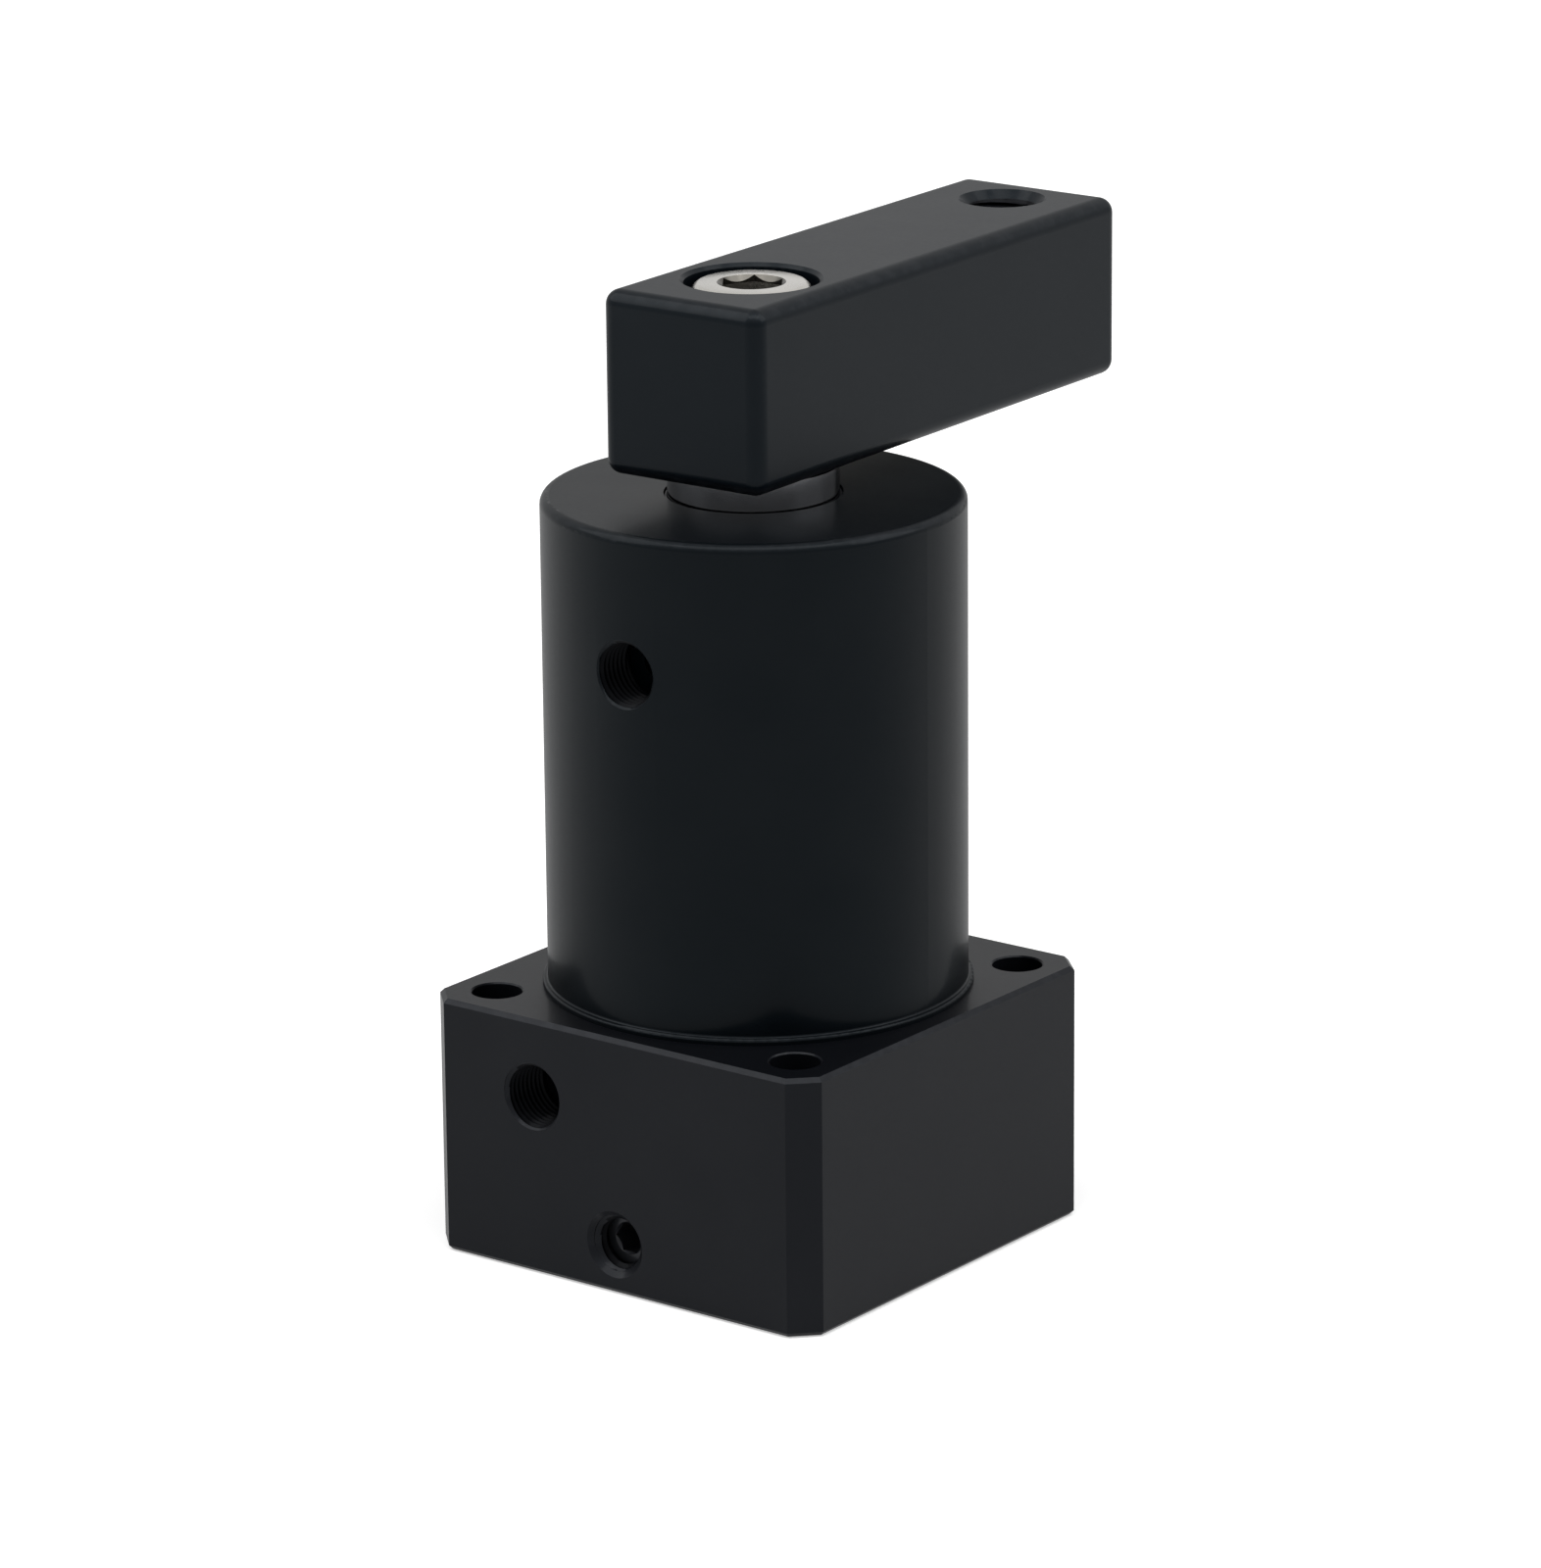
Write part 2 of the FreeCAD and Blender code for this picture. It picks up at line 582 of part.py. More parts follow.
def make_guide_shaft():
    """Shaft that stands on the block's floor and turns the rod by its helical grooves."""
    shaft = SHAFT_RADIUS
    foot = SHAFT_FOOT_RADIUS
    foot_bottom = "dims.shaft_foot_height"
    flange = f"({foot} + dims.flange_overhang)"
    lock_groove = f"({foot} - dims.lock_groove_depth)"
    seal_floor = f"({foot} - dims.shaft_seal_thickness)"
    seal_top = f"({CHAMBER_FLOOR} - dims.shaft_seal_drop)"
    seal_bottom = f"({seal_top} - dims.shaft_seal_width)"
    body = turned("guide_shaft", [
        ("0", foot_bottom),
        (f"{foot} - dims.shaft_end_break", foot_bottom),
        (foot, f"{foot_bottom} + dims.shaft_end_break"),
        (foot, "dims.lock_screw_height - dims.lock_groove_depth"),
        (lock_groove, "dims.lock_screw_height"),
        (foot, "dims.lock_screw_height + dims.lock_groove_depth"),
        (foot, seal_bottom),
        (seal_floor, seal_bottom),
        (seal_floor, seal_top),
        (foot, seal_top),
        (foot, CHAMBER_FLOOR),
        (flange, CHAMBER_FLOOR),
        (flange, FLANGE_TOP),
        (shaft, FLANGE_TOP),
        (shaft, f"{SHAFT_TOP} - dims.shaft_end_break"),
        (f"{shaft} - dims.shaft_end_break", SHAFT_TOP),
        ("0", SHAFT_TOP),
    ])

    # The groove's level section is a pin's width, widened by the slope of the helix
    slope = f"(dims.swing_angle * pi / 180 * {shaft} / dims.stroke)"
    half_width = f"((dims.pin_diameter / 2 + dims.pin_clearance) * sqrt(1 + {slope} ^ 2))"
    beyond = f"({shaft} + dims.guide_groove_depth)"
    sketch = new_sketch(body, "groove_outline", "XY_Plane", PIN_LEVEL)
    draw_outline(sketch, [
        (SHAFT_CORE_RADIUS, f"-{half_width}"), (beyond, f"-{half_width}"),
        (beyond, half_width), (SHAFT_CORE_RADIUS, half_width),
    ])
    before = body.Shape.Volume
    groove = body.newObject("PartDesign::SubtractiveHelix", "groove")
    groove.Profile = sketch
    groove.ReferenceAxis = (sketch, ["N_Axis"])
    groove.Mode = 0
    groove.LeftHanded = True
    groove.setExpression("Pitch", "dims.stroke * 360 / dims.swing_angle")
    groove.setExpression("Height", "dims.stroke")
    check_cut(body, "groove", before)

    features = [groove]
    end_radius = "(dims.pin_diameter / 2 + dims.pin_clearance)"
    ends = (("groove_foot", PIN_LEVEL, "0"), ("groove_head", PIN_TOP_LEVEL, "-dims.swing_angle"))
    for name, height, angle in ends:
        sketch = new_sketch(body, f"{name}_outline", "YZ_Plane", SHAFT_CORE_RADIUS, angle)
        draw_circle(sketch, ("0", height), end_radius)
        features.append(pocketed(body, name, sketch, "dims.shaft_diameter", reverse=True))
    patterned(body, "grooves", features, PIN_COUNT)
    return body


def lay_on_spoke(body, angle, distance, height):
    """Lays a body's own Z axis outwards along a spoke of the Z axis, starting at a distance."""
    spoke = Rotation(Vector(0, 0, 1), value_of(angle))
    body.Placement = Placement(Vector(), spoke.multiply(Rotation(Vector(0, 1, 0), 90)))
    body.setExpression("Placement.Base.x", f"{distance} * cos({angle})")
    body.setExpression("Placement.Base.y", f"{distance} * sin({angle})")
    body.setExpression("Placement.Base.z", height)


def make_guide_pins():
    """Pins through the rod's wall whose inner ends run in the grooves of the guide shaft."""
    outer_end = f"({JOURNAL_RADIUS} - dims.pin_clearance * 2)"
    inner_end = f"({SHAFT_CORE_RADIUS} + dims.pin_clearance * 2)"
    length = f"({outer_end} - {inner_end})"
    pin = "dims.pin_diameter / 2 - dims.seat_clearance"
    narrow = f"{pin} - dims.pin_end_break"
    for number in range(PIN_COUNT):
        body = turned(f"guide_pin_{number + 1}", [
            ("0", "0"),
            (narrow, "0"),
            (pin, "dims.pin_end_break"),
            (pin, f"{length} - dims.pin_end_break"),
            (narrow, length),
            ("0", length),
        ])
        lay_on_spoke(body, f"{number} * 360 / {PIN_COUNT}", inner_end, PIN_LEVEL)


def make_piston_rod():
    """Hollow rod: threaded end, journal for the piston, rod, and taper for the arm."""
    taper_top = f"({TAPER_RADIUS} - ({ROD_TOP} - {ARM_BOTTOM}) * dims.taper_ratio / 2)"
    shoulder = f"({ARM_BOTTOM} - dims.end_gap)"
    body = turned("piston_rod", [
        ("0", NUT_BOTTOM),
        (f"{JOURNAL_RADIUS} - dims.rod_end_break", NUT_BOTTOM),
        (JOURNAL_RADIUS, f"{NUT_BOTTOM} + dims.rod_end_break"),
        (JOURNAL_RADIUS, ROD_SHOULDER),
        (ROD_RADIUS, ROD_SHOULDER),
        (ROD_RADIUS, shoulder),
        (TAPER_RADIUS, shoulder),
        (TAPER_RADIUS, ARM_BOTTOM),
        (taper_top, ROD_TOP),
        ("0", ROD_TOP),
    ])
    bore = f"({SHAFT_RADIUS} + dims.running_clearance)"
    bore_top = f"({SHAFT_TOP} + dims.guide_bore_end_gap)"
    bored(body, "guide_bore", [
        (bore, NUT_BOTTOM),
        (bore, bore_top),
        (f"{bore} / 10", f"{bore_top} + {bore} / 2"),
    ])
    thread = "(dims.arm_screw_diameter / 2 + dims.thread_clearance)"
    thread_end = f"({SCREW_SEAT} - dims.arm_screw_length - dims.tapped_hole_allowance)"
    bored(body, "arm_screw_thread", [
        (f"({thread} + dims.rod_end_break)", ROD_TOP),
        (thread, f"{ROD_TOP} - dims.rod_end_break"),
        (thread, thread_end),
        (f"{thread} / 10", f"{thread_end} - {thread} / 2"),
    ])
    sketch = new_sketch(body, "pin_hole_outline", "YZ_Plane")
    draw_circle(sketch, ("0", PIN_LEVEL), "dims.pin_diameter / 2")
    hole = pocketed(body, "pin_hole", sketch, "dims.rod_diameter", reverse=True)
    patterned(body, "pin_holes", [hole], PIN_COUNT)
    return body


def make_piston():
    """Ring that floats on the rod between its shoulder and the nut."""
    outside = f"({BORE_RADIUS} - dims.piston_clearance)"
    inside = f"({JOURNAL_RADIUS} + dims.running_clearance)"
    guide_floor = f"({BORE_RADIUS} - dims.guide_ring_thickness - 2 * dims.seal_clearance)"
    seal_floor = f"({BORE_RADIUS} - dims.piston_seal_thickness - dims.piston_loader_thickness)"
    inner_floor = f"({inside} + dims.inner_seal_thickness)"
    return turned("piston", [
        (inside, PISTON_BOTTOM),
        (outside, PISTON_BOTTOM),
        (outside, LOWER_RING_START),
        (guide_floor, LOWER_RING_START),
        (guide_floor, LOWER_RING_END),
        (outside, LOWER_RING_END),
        (outside, SEAL_START),
        (seal_floor, SEAL_START),
        (seal_floor, SEAL_END),
        (outside, SEAL_END),
        (outside, UPPER_RING_START),
        (guide_floor, UPPER_RING_START),
        (guide_floor, UPPER_RING_END),
        (outside, UPPER_RING_END),
        (outside, PISTON_TOP),
        (inside, PISTON_TOP),
        (inside, INNER_SEAL_END),
        (inner_floor, INNER_SEAL_END),
        (inner_floor, INNER_SEAL_START),
        (inside, INNER_SEAL_START),
    ])


def make_piston_rings():
    """Seal, its loading O-ring, two split guide rings and the O-ring on the rod."""
    wall = f"({BORE_RADIUS} - dims.seal_clearance)"
    seal_inside = f"({BORE_RADIUS} - dims.piston_seal_thickness)"
    seal_bottom = f"({SEAL_START} + dims.end_gap)"
    seal_top = f"({SEAL_END} - dims.end_gap)"
    make_ring("piston_seal", seal_inside, wall, seal_bottom, seal_top, "dims.seat_clearance * 10")

    loader_outside = f"({seal_inside} - dims.seal_clearance)"
    loader_inside = f"({seal_inside} - dims.piston_loader_thickness + dims.seal_clearance)"
    make_ring("piston_seal_loader", loader_inside, loader_outside,
              f"({seal_bottom} + dims.piston_loader_thickness / 2)",
              f"({seal_top} - dims.piston_loader_thickness / 2)",
              "dims.piston_loader_thickness * 0.45")

    guide_inside = f"({BORE_RADIUS} - dims.guide_ring_thickness - dims.seal_clearance)"
    for name, start in (("lower", LOWER_RING_START), ("upper", UPPER_RING_START)):
        label = f"piston_guide_ring_{name}"
        bottom = f"({start} + dims.end_gap)"
        top = f"({bottom} + dims.guide_ring_width)"
        body = turned(label, [(guide_inside, bottom), (wall, bottom), (wall, top), (guide_inside, top)])
        half_slit = "dims.guide_ring_slit / 2"
        sketch = new_sketch(body, f"{label}_slit_outline", "XY_Plane", f"{top} + dims.end_gap")
        draw_outline(sketch, [
            (f"{BORE_RADIUS} / 2", f"-{half_slit}"), ("dims.cylinder_bore", f"-{half_slit}"),
            ("dims.cylinder_bore", half_slit), (f"{BORE_RADIUS} / 2", half_slit),
        ])
        pocketed(body, f"{label}_slit", sketch, "2 * dims.guide_ring_width")

    inside = f"({JOURNAL_RADIUS} + dims.seal_clearance)"
    outside = f"({JOURNAL_RADIUS} + dims.running_clearance + dims.inner_seal_thickness - dims.seal_clearance)"
    bottom = f"({INNER_SEAL_START} + dims.seal_clearance)"
    top = f"({INNER_SEAL_END} - dims.seal_clearance)"
    make_ring("piston_inner_seal", inside, outside, bottom, top, "dims.inner_seal_thickness * 0.45")


def make_piston_nut():
    """Slotted round nut below the piston, and the screw that locks it on the rod."""
    outside = NUT_RADIUS
    inside = f"({JOURNAL_RADIUS} + dims.thread_clearance)"
    body = turned("piston_nut", [
        (inside, NUT_BOTTOM),
        (f"{outside} - dims.nut_edge_break", NUT_BOTTOM),
        (outside, f"{NUT_BOTTOM} + dims.nut_edge_break"),
        (outside, f"{NUT_TOP} - dims.nut_edge_break"),
        (f"{outside} - dims.nut_edge_break", NUT_TOP),
        (inside, NUT_TOP),
    ])
    slot_floor = f"({outside} - dims.nut_slot_depth)"
    half_slot = "dims.nut_slot_width / 2"
    sketch = new_sketch(body, "nut_slot_outline", "XY_Plane", f"{NUT_TOP} + dims.end_gap")
    draw_outline(sketch, [
        (slot_floor, f"-{half_slot}"), (f"2 * {outside}", f"-{half_slot}"),
        (f"2 * {outside}", half_slot), (slot_floor, half_slot),
    ])
    slot = pocketed(body, "nut_slot", sketch, "dims.nut_height + 2 * dims.end_gap")
    patterned(body, "nut_slots", [slot], 4)
    screw_level = f"({NUT_BOTTOM} + dims.nut_height / 2)"
    sketch = new_sketch(body, "nut_screw_hole_outline", "YZ_Plane", spoke="dims.nut_screw_angle")
    draw_circle(sketch, ("0", screw_level), "(dims.nut_screw_diameter / 2 + dims.thread_clearance)")
    pocketed(body, "nut_screw_hole", sketch, f"2 * {outside}", reverse=True)

    length = "(dims.nut_wall - dims.nut_screw_recess - dims.end_gap)"
    screw = make_set_screw("nut_lock_screw", "dims.nut_screw_diameter / 2", length,
                           "dims.nut_screw_key", "dims.nut_screw_key_depth")
    lay_on_spoke(screw, "dims.nut_screw_angle", f"({JOURNAL_RADIUS} + dims.end_gap)", screw_level)


def make_set_screw(label, radius, length, key, key_depth):
    """Set screw with a cone point at the origin, standing along its own Z axis."""
    body = turned(label, [
        ("0", "0"),
        (radius, radius),
        (radius, f"{length} - {radius} / 8"),
        (f"{radius} * 7 / 8", length),
        ("0", length),
    ])
    key_socket(body, length, key, key_depth)
    return body


def make_guide_lock_screw():
    """Set screw from the port side whose cone sits in the groove of the guide shaft."""
    length = f"({HALF_BLOCK} - dims.lock_screw_recess - {LOCK_TIP_RADIUS})"
    screw = make_set_screw("guide_lock_screw", "dims.lock_screw_diameter / 2", length,
                           "dims.lock_screw_key", "dims.lock_screw_key_depth")
    screw.Placement = Placement(Vector(), Rotation(Vector(1, 0, 0), 90))
    screw.setExpression("Placement.Base.y", f"-{LOCK_TIP_RADIUS}")
    screw.setExpression("Placement.Base.z", "dims.lock_screw_height")


def make_rod_guidance():
    """Bushing, pressure seal and wiper in the barrel head."""
    inside = f"({ROD_RADIUS} + dims.running_clearance)"
    outside = f"({inside} + dims.bushing_thickness)"
    top = f"({BUSHING_TOP} - dims.end_gap)"
    bottom = f"({NOSE_BOTTOM} + dims.bushing_inset)"
    entry = "dims.bushing_thickness / 4"
    turned("rod_bushing", [
        (f"{inside} + {entry}", bottom),
        (f"{outside} - {entry}", bottom),
        (outside, f"{bottom} + {entry}"),
        (outside, top),
        (f"{inside} + {entry}", top),
        (inside, f"{top} - {entry}"),
        (inside, f"{bottom} + {entry}"),
    ])

    inside = f"({ROD_RADIUS} + dims.seal_clearance)"
    outside = f"({ROD_RADIUS} + dims.rod_seal_depth - dims.seal_clearance)"
    bottom = f"({SEAL_GROOVE_BOTTOM} + dims.end_gap)"
    top = f"({SEAL_GROOVE_TOP} - dims.end_gap)"
    lip = "dims.rod_seal_depth / 5"
    turned("rod_seal", [
        (inside, f"{bottom} + {lip} / 2"),
        (f"{inside} + {lip} / 2", bottom),
        (f"{inside} + {lip}", bottom),
        (f"{inside} + 2 * {lip}", f"{bottom} + dims.rod_seal_notch"),
        (f"{outside} - 2 * {lip}", f"{bottom} + dims.rod_seal_notch"),
        (f"{outside} - {lip}", bottom),
        (f"{outside} - {lip} / 2", bottom),
        (outside, f"{bottom} + {lip} / 2"),
        (outside, top),
        (inside, top),
    ])

    outside = f"({ROD_RADIUS} + dims.wiper_groove_depth - dims.seal_clearance)"
    bottom = f"({WIPER_GROOVE_BOTTOM} + dims.end_gap)"
    top = f"({WIPER_GROOVE_TOP} - dims.end_gap)"
    lip_top = f"({BARREL_TOP} - dims.throat_lip / 4)"
    turned("rod_wiper", [
        (f"{inside} + dims.throat_gap", bottom),
        (outside, bottom),
        (outside, top),
        (f"{inside} + dims.throat_gap", top),
        (f"{inside} + dims.wiper_lip_thickness", f"{top} + dims.end_gap"),
        (f"{inside} + dims.wiper_lip_thickness / 2", lip_top),
        (inside, lip_top),
        (inside, f"{top} - dims.throat_gap"),
        (f"{inside} + dims.throat_gap", f"{top} - 2 * dims.throat_gap"),
    ])


def make_clamp_arm():
    """Bar with a taper seat and a counterbored screw over the rod, and a tapped tip."""
    half = "dims.arm_width / 2"
    body = new_body("clamp_arm")
    padded(body, "arm_blank", [
        (f"-{half}", "-dims.arm_heel"), (half, "-dims.arm_heel"),
        (half, ARM_REACH), (f"-{half}", ARM_REACH),
    ], "dims.arm_thickness", ARM_BOTTOM)
    dressed(body, "arm_edges", "PartDesign::Fillet", "dims.arm_edge_radius", lambda edge: True)

    seat = f"({TAPER_RADIUS} + dims.seat_clearance)"
    seat_top = f"({seat} - ({ARM_SEAT_TOP} - {ARM_BOTTOM}) * dims.taper_ratio / 2)"
    hole = "(dims.arm_screw_diameter / 2 + dims.arm_screw_hole_clearance)"
    counterbore = f"({SCREW_HEAD_RADIUS} + dims.counterbore_clearance)"
    bored(body, "arm_seat", [
        (seat, ARM_BOTTOM),
        (seat_top, ARM_SEAT_TOP),
        (hole, ARM_SEAT_TOP),
        (hole, SCREW_SEAT),
        (counterbore, SCREW_SEAT),
        (counterbore, f"({ARM_TOP} - dims.counterbore_break)"),
        (f"({counterbore} + dims.counterbore_break)", ARM_TOP),
    ])

    tip = "dims.arm_tip_hole_diameter / 2"
    tip_mouth = f"({tip} + dims.arm_tip_hole_break)"
    bored(body, "arm_tip_hole", [
        (tip_mouth, ARM_BOTTOM),
        (tip, f"({ARM_BOTTOM} + dims.arm_tip_hole_break)"),
        (tip, f"({ARM_TOP} - dims.arm_tip_hole_break)"),
        (tip_mouth, ARM_TOP),
    ], centre="dims.arm_tip_hole_reach", role="YZ_Plane")
    body.Placement = Placement(Vector(), Rotation(Vector(0, 0, 1), 1))
    body.setExpression("Placement.Rotation.Angle", "dims.arm_lean")


def make_arm_screw():
    """Socket head screw that draws the arm down on the rod's taper."""
    shank = "dims.arm_screw_diameter / 2"
    head = SCREW_HEAD_RADIUS
    tip = f"({SCREW_SEAT} - dims.arm_screw_length)"
    body = turned("arm_screw", [
        ("0", tip),
        (f"{shank} * 0.85", tip),
        (shank, f"{tip} + {shank} * 0.15"),
        (shank, SCREW_SEAT),
        (head, SCREW_SEAT),
        (head, f"({SCREW_HEAD_TOP} - dims.arm_screw_head_break)"),
        (f"({head} - dims.arm_screw_head_break)", SCREW_HEAD_TOP),
        ("0", SCREW_HEAD_TOP),
    ])
    key_socket(body, SCREW_HEAD_TOP, "dims.arm_screw_key", "dims.arm_screw_key_depth")


make_base_block()
make_barrel()
make_housing_seals()
make_guide_shaft()
make_guide_lock_screw()
make_rod_guidance()
make_piston_rod()
make_piston()
make_piston_rings()
make_piston_nut()
make_guide_pins()
make_clamp_arm()
make_arm_screw()
doc.recompute()

faults = [item.Name for item in doc.Objects if {"Invalid", "Error"} & set(item.State)]
sub_parts = [item for item in doc.Objects if item.isDerivedFrom("PartDesign::Body")]
faults += [item.Name for item in sub_parts if item.Shape.isNull() or not item.Shape.isValid()]
if faults:
    raise RuntimeError("these objects failed: " + ", ".join(faults))

os.makedirs("parts", exist_ok=True)
for item in sub_parts:
    item.Shape.exportStep(f"parts/{item.Label}.step")
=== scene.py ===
import json
import math

import bmesh
import bpy
from mathutils import Matrix, Vector


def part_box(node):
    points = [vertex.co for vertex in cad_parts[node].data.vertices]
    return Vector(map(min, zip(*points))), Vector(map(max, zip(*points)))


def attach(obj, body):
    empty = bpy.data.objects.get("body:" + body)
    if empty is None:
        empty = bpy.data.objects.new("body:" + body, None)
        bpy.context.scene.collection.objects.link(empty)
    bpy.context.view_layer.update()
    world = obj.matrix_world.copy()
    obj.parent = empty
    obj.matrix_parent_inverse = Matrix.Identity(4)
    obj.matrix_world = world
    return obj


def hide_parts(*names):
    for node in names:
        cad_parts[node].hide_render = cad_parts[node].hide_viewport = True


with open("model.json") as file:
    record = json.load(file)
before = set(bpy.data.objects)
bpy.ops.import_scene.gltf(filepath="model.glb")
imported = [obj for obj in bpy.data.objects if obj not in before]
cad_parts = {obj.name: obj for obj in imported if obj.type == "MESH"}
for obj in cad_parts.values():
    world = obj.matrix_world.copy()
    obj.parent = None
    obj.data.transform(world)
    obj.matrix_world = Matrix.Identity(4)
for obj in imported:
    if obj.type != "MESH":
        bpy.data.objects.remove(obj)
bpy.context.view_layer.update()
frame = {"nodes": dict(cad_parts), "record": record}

# Base block: a square of blackened steel, milled and ground, with four bolt holes through it.
# Oil enters by the tapped port on its left face and lifts the piston above it.
# The blackening leaves a fine, slightly uneven satin skin that is thinnest on the edges; the edges are
# painted paler, partly as wear and partly as a painted highlight.
MM = 0.001


def new_group(name, inputs, outputs):
    """Node group with number sockets, and its nodes, links and two ends."""
    group = bpy.data.node_groups.new(name, "ShaderNodeTree")
    for socket, value in inputs.items():
        added = group.interface.new_socket(socket, in_out="INPUT", socket_type="NodeSocketFloat")
        added.default_value = value
    for socket in outputs:
        group.interface.new_socket(socket, in_out="OUTPUT", socket_type="NodeSocketFloat")
    start = group.nodes.new("NodeGroupInput")
    end = group.nodes.new("NodeGroupOutput")
    return group, start, end


def calculate(tree, operation, first, second=None, third=None):
    """Math node fed by numbers or by other nodes' outputs."""
    node = tree.nodes.new("ShaderNodeMath")
    node.operation = operation
    for socket, value in zip(node.inputs, (first, second, third)):
        if isinstance(value, (int, float)):
            socket.default_value = value
        elif value is not None:
            tree.links.new(value, socket)
    return node.outputs[0]


def noise(tree, vector, scale, detail, kind="3D"):
    """Noise between 0 and 1 at so many spots a metre."""
    node = tree.nodes.new("ShaderNodeTexNoise")
    node.noise_dimensions = kind
    node.inputs["Detail"].default_value = detail
    if isinstance(scale, (int, float)):
        node.inputs["Scale"].default_value = scale
    else:
        tree.links.new(scale, node.inputs["Scale"])
    tree.links.new(vector, node.inputs["W" if kind == "1D" else "Vector"])
    return node.outputs[0]


def spread(tree, value, low, high, new_low, new_high):
    """Maps a range of a value onto another."""
    node = tree.nodes.new("ShaderNodeMapRange")
    for socket, number in zip(node.inputs, (value, low, high, new_low, new_high)):
        if isinstance(number, (int, float)):
            socket.default_value = number
        else:
            tree.links.new(number, socket)
    return node.outputs[0]


GRAIN_SPOTS = 9000
FINE_SPOTS = 1400
PATCH_SPOTS = 70
PATCH_RANGE = (0.3, 0.7)
BLEND_RANGE = (0.1, 0.9)


def make_skin_group():
    """Fine grain of a treated metal skin, with soft patches where it is smoother or rougher."""
    group, start, end = new_group("skin", {"Low": 0.3, "High": 0.4}, ("Height", "Roughness", "Patch"))
    place = group.nodes.new("ShaderNodeTexCoord").outputs["Object"]
    group.links.new(noise(group, place, GRAIN_SPOTS, detail=2), end.inputs["Height"])
    patch = spread(group, noise(group, place, PATCH_SPOTS, detail=3), *PATCH_RANGE, 0, 1)
    fine = noise(group, place, FINE_SPOTS, detail=2)
    blend = calculate(group, "MULTIPLY_ADD", fine, 0.5, calculate(group, "MULTIPLY", patch, 0.5))
    rough = spread(group, blend, *BLEND_RANGE, start.outputs["Low"], start.outputs["High"])
    group.links.new(rough, end.inputs["Roughness"])
    group.links.new(patch, end.inputs["Patch"])
    return group


WEAR_SPOTS = 500
WEAR_RANGE = (0.4, 0.62)
LEAST_WEAR = 0.4
FACE_LIMIT = 0.97
EDGE_LIMIT = 0.85


def make_edge_group():
    """Mask of the broken edges round a level face, patchy as handling wears them; the steel there is
    painted paler, as wear and as a painted highlight.
    """
    group, start, end = new_group("worn_and_glinting_edges", {"Amount": 1.0}, ("Mask",))
    coordinates = group.nodes.new("ShaderNodeTexCoord")
    split = group.nodes.new("ShaderNodeSeparateXYZ")
    group.links.new(coordinates.outputs["Normal"], split.inputs[0])
    rise = calculate(group, "ABSOLUTE", split.outputs["Z"])
    square = calculate(group, "MULTIPLY", rise, rise)
    level = calculate(group, "SQRT", calculate(group, "SUBTRACT", 1, square))
    slanted = spread(group, calculate(group, "MAXIMUM", rise, level), FACE_LIMIT, EDGE_LIMIT, 0, 1)
    wear = noise(group, coordinates.outputs["Object"], WEAR_SPOTS, detail=3)
    broken = spread(group, wear, *WEAR_RANGE, LEAST_WEAR, 1)
    patchy = calculate(group, "MULTIPLY", slanted, broken)
    mask = calculate(group, "MULTIPLY", patchy, start.outputs["Amount"])
    group.links.new(mask, end.inputs["Mask"])
    return group


WALL_LIMIT = 0.7
LINE_SLANT = 0.02


def make_grinding_group():
    """Fine parallel lines that a grinding wheel leaves along each face of a square piece."""
    group, start, end = new_group("grinding_lines", {"Lines": 5000.0}, ("Height",))
    coordinates = group.nodes.new("ShaderNodeTexCoord")
    normal = group.nodes.new("ShaderNodeSeparateXYZ")
    place = group.nodes.new("ShaderNodeSeparateXYZ")
    group.links.new(coordinates.outputs["Normal"], normal.inputs[0])
    group.links.new(coordinates.outputs["Object"], place.inputs[0])
    rise = calculate(group, "ABSOLUTE", normal.outputs["Z"])
    upright = calculate(group, "LESS_THAN", rise, WALL_LIMIT)
    across = calculate(group, "MULTIPLY", place.outputs["Z"], upright)
    level = calculate(group, "MULTIPLY", place.outputs["X"], calculate(group, "SUBTRACT", 1, upright))
    along = calculate(group, "ADD", calculate(group, "MULTIPLY", place.outputs["Y"], LINE_SLANT),
                      calculate(group, "MULTIPLY", place.outputs["X"], LINE_SLANT))
    line = calculate(group, "ADD", calculate(group, "ADD", across, level), along)
    marks = noise(group, line, start.outputs["Lines"], detail=1, kind="1D")
    group.links.new(marks, end.inputs["Height"])
    return group


skin_group = make_skin_group()
edge_group = make_edge_group()
grinding_group = make_grinding_group()


def use_group(tree, group, **values):
    """Node of a shared group, with its own values."""
    node = tree.nodes.new("ShaderNodeGroup")
    node.node_tree = group
    for name, value in values.items():
        node.inputs[name].default_value = value
    return node


def new_material(name, constants):
    """Material whose shader has these sockets set."""
    material = bpy.data.materials.new(name)
    material.use_nodes = True
    shader = material.node_tree.nodes["Principled BSDF"]
    for socket, value in constants.items():
        shader.inputs[socket].default_value = value
    return material, material.node_tree, shader


def blend_colours(tree, mask, dull, bright):
    """Colour between two others, by a mask."""
    node = tree.nodes.new("ShaderNodeMix")
    node.data_type = "RGBA"
    node.inputs["A"].default_value = (*dull, 1)
    node.inputs["B"].default_value = (*bright, 1)
    tree.links.new(mask, node.inputs["Factor"])
    return node.outputs["Result"]


def bump(tree, shader, height, depth):
    """Raises the surface by a height between 0 and 1, times a depth in metres."""
    node = tree.nodes.new("ShaderNodeBump")
    node.inputs["Strength"].default_value = 1
    node.inputs["Distance"].default_value = depth
    tree.links.new(height, node.inputs["Height"])
    tree.links.new(node.outputs[0], shader.inputs["Normal"])


OIL_ROUGHNESS = 0.16
THIN_FILM = 0.9
THICK_FILM = 1.1
